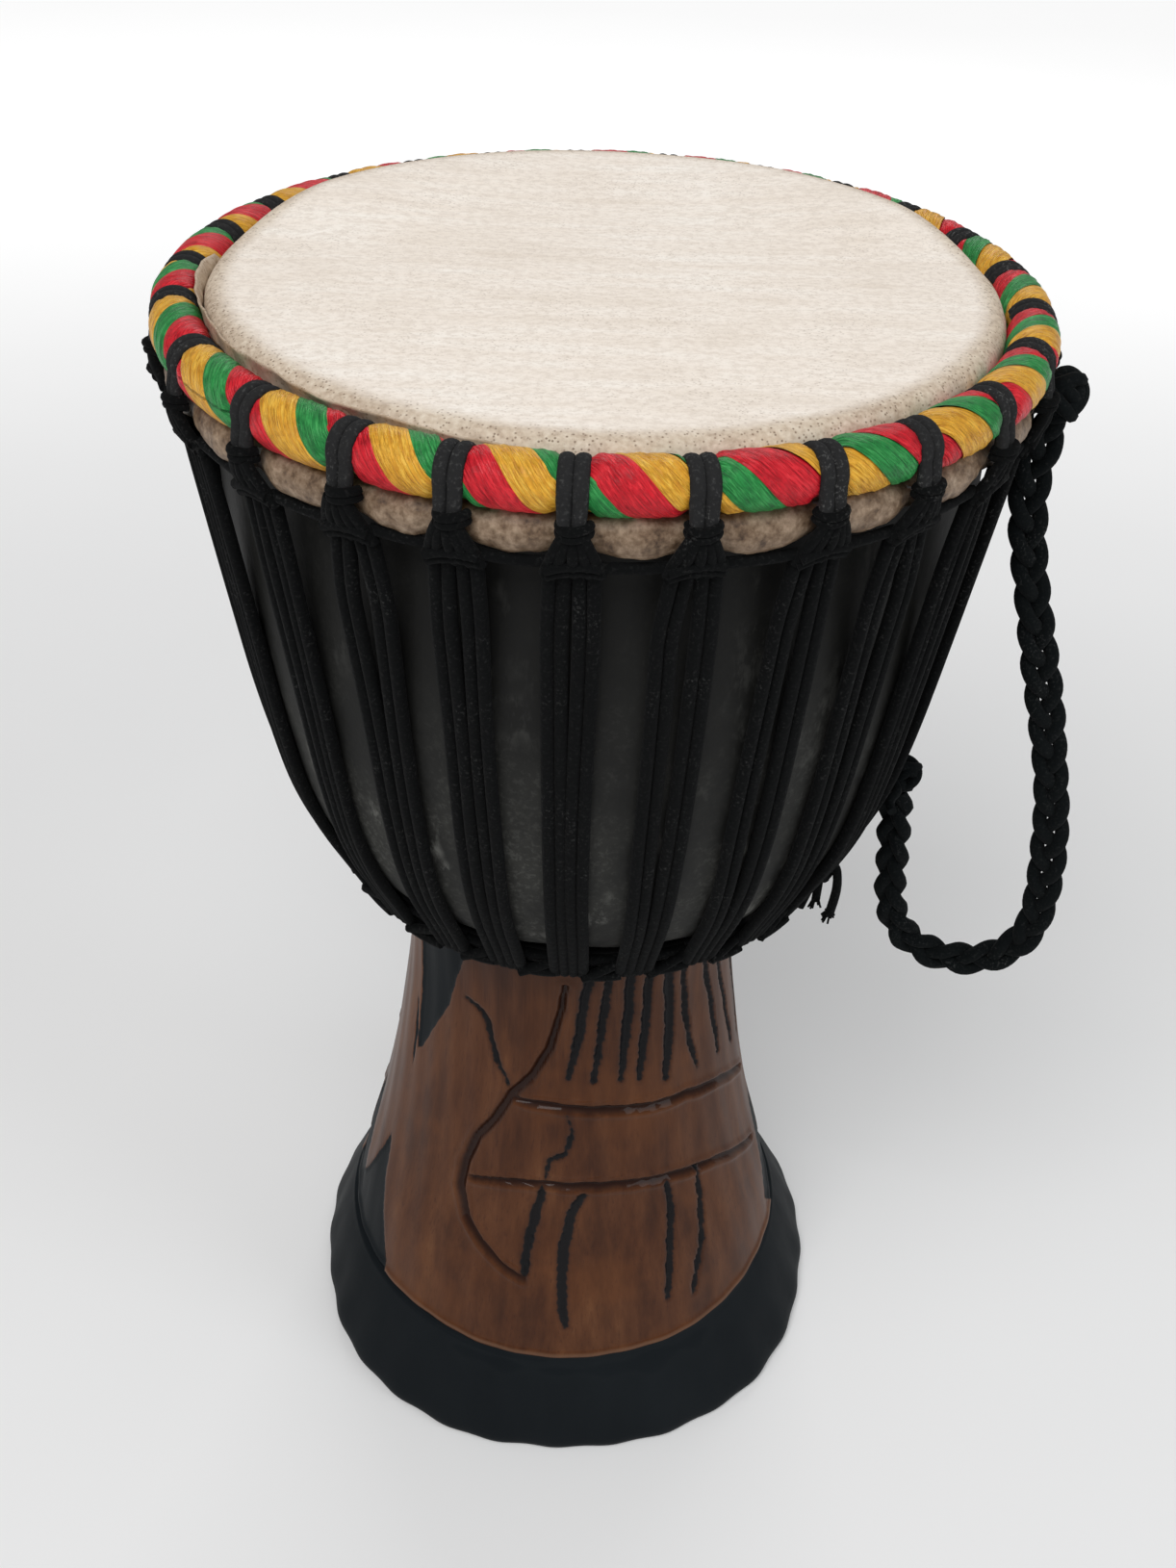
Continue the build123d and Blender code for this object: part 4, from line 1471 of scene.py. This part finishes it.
# %% Finish: the painted bowl
def painted_bowl():
    finish = Finish("painted_bowl")
    height = finish.apart(finish.place)[2]
    wear = finish.mottled((26.0, 26.0, 15.0), 5.0, 0.65)
    dust = finish.mottled(420.0, 3.0, 0.7)
    scuff = finish.mottled((160.0, 160.0, 60.0), 4.0, 0.7)
    low = (1.0 - height.rise(0.36, 0.47)) * height.rise(0.311, 0.322)
    worn = wear.rise(0.38, 0.66) * (low + 0.12)
    tint = finish.blend(wear, (0.0070, 0.0070, 0.0066), (0.0130, 0.0130, 0.0122))
    tint = finish.blend(low * 0.30, tint, (0.024, 0.0245, 0.0235))
    tint = finish.blend(worn * 0.70, tint, (0.044, 0.044, 0.040))
    rubbed = finish.mottled((31.0, 31.0, 19.0), 3.0, 0.6).rise(0.55, 0.68)
    tint = finish.blend(dust.rise(0.48, 0.66) * worn * 0.45, tint, (0.10, 0.10, 0.092))
    scuffed = scuff.rise(0.44, 0.62) * rubbed * (low * 0.7 + 0.12)
    tint = finish.blend(scuffed, tint, (0.16, 0.16, 0.148))
    rough = 0.55 + worn * 0.20 + (dust - 0.5) * 0.12
    bumps = [(scuff * (0.5 * MM) + dust * (0.12 * MM), 0.35), (wear * (2.5 * MM), 0.25)]
    return finish.surface(tint, rough, bumps, Specular_IOR_Level=0.12)


bowl.data.materials.append(painted_bowl())

# %% [markdown]
# The steel rings
# ---------------
# The rings are plain rod. Two are hidden in cloth and skin, and the bottom one shows only between the
# ropes, so they keep their CAD shapes and get the finish of drawn steel, dull and a little rusty.

# %% Finish: steel rod
def steel_rod(name, clean, rust, amount):
    finish = Finish(name)
    spots = finish.mottled(170.0, 5.0, 0.7)
    scratches = finish.mottled((60.0, 60.0, 900.0))
    tint = finish.blend(spots.rise(0.5, 0.72) * amount, clean, rust)
    height = scratches * (0.1 * MM) + spots * (0.1 * MM)
    return finish.surface(tint, 0.42 + spots * 0.25, [(height, 0.5)], Metallic=0.8)


bare_steel = steel_rod("bare_steel", (0.45, 0.45, 0.46), (0.16, 0.07, 0.035), 0.6)
dark_steel = steel_rod("dark_steel", (0.02, 0.02, 0.021), (0.06, 0.04, 0.03), 0.4)
rings = {"flesh_ring": bare_steel, "crown_ring": bare_steel, "bottom_ring": dark_steel}
for node, steel in rings.items():
    mesh = frame["nodes"][node].data
    mesh.materials.clear()
    mesh.materials.append(steel)

# %% [markdown]
# Floor and light
# ---------------
# A plain pale floor under a pale world, with one wide soft light high in front, a cooler one from the
# right and a weak one behind. Wide lights give the varnish long soft highlights and keep the black
# rope readable. Far from the drum the floor glows a little, so that it runs into the pale world
# without a hard line.

# %% Floor, world and lights
half = 5.0
floor_corners = [(-half, -half, 0), (half, -half, 0), (half, half, 0), (-half, half, 0)]
floor = add_mesh("floor", floor_corners, faces=[(0, 1, 2, 3)])
floor_finish = Finish("pale_floor")
mottle = floor_finish.mottled(3.0, 2.0)
floor_x, floor_y, _ = floor_finish.apart(floor_finish.place)
far_off = (floor_x * floor_x + floor_y * floor_y).math("SQRT").rise(0.5, 2.6)
floor_tint = floor_finish.blend(mottle, (0.86, 0.86, 0.86), (0.90, 0.90, 0.90))
floor_glow = floor_finish.blend(far_off, (0, 0, 0), (0.6, 0.6, 0.6))
glow = {"Emission_Color": floor_glow, "Emission_Strength": 1.0}
floor.data.materials.append(floor_finish.surface(floor_tint, mottle * 0.1 + 0.8, **glow))

world = bpy.data.worlds.new("studio")
bpy.context.scene.world = world
world.use_nodes = True
sky = world.node_tree.nodes["Background"].inputs
sky["Color"].default_value = (1, 1, 1, 1)
sky["Strength"].default_value = 0.34
bpy.context.scene.view_settings.view_transform = "Standard"


def soft_light(name, place, aim, size, power, colour=(1, 1, 1)):
    lamp = bpy.data.lights.new(name, "AREA")
    lamp.shape = "RECTANGLE"
    lamp.size, lamp.size_y = size
    lamp.energy = power
    lamp.color = colour
    holder = bpy.data.objects.new(name, lamp)
    holder.location = place
    holder.rotation_euler = (Vector(aim) - Vector(place)).to_track_quat("-Z", "Y").to_euler()
    scene_objects.link(holder)


soft_light("high_front", (-0.5, -1.3, 2.4), (0, 0, 0.4), (1.6, 1.2), 38)
soft_light("right", (1.8, -0.8, 1.4), (0, 0, 0.35), (0.8, 1.4), 9, (0.93, 0.97, 1))
soft_light("behind", (0.2, 2.0, 1.8), (0, 0, 0.4), (1.6, 0.8), 12)

# %% [markdown]
# What rides on what
# ------------------
# Each finished piece is told which CAD body it moves with, and the CAD pieces it stands for are hidden.
# The handle is the one piece that swings.

# %% Everything takes its place
def place(piece, body, slot, *nodes):
    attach(piece, body)
    if nodes:
        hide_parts(*nodes)


place(handle, "handle", "black_rope", "braided_handle")
fixed_ropes = (
    (handle_knot, "handle_knot"), (handle_hitch, "handle_hitch"), (tail, "tail_rope"), (tail_fray,),
    (tail_knot, "tail_knot"), (start_knot, "lace_start_knot"), *zip(laces, lace_names),
    (loops, "crown_loops"), (hitches, "crown_hitches"), (knots, "crown_knots"),
    (link_ropes, "crown_links"), (bottom_ropes, "bottom_links"), (bottom_wraps,),
)
for piece, *nodes in fixed_ropes:
    place(piece, "drum", "black_rope", *nodes)
place(skin, "drum", "goatskin", "drumhead_skin")
place(flap, "drum", "goatskin")
for colour, strip in strips.items():
    place(strip, "drum", f"{colour}_cloth", f"crown_cloth_{colour}")
place(bowl, "drum", "carved_wood", "shell")
place(stem, "drum", "carved_wood", "shell")

# %% The first points of the handle and the tail
tuple(around(handle_azimuth, *handle_route[0]))
tuple(around(tail_azimuth, *tail_route[0]))
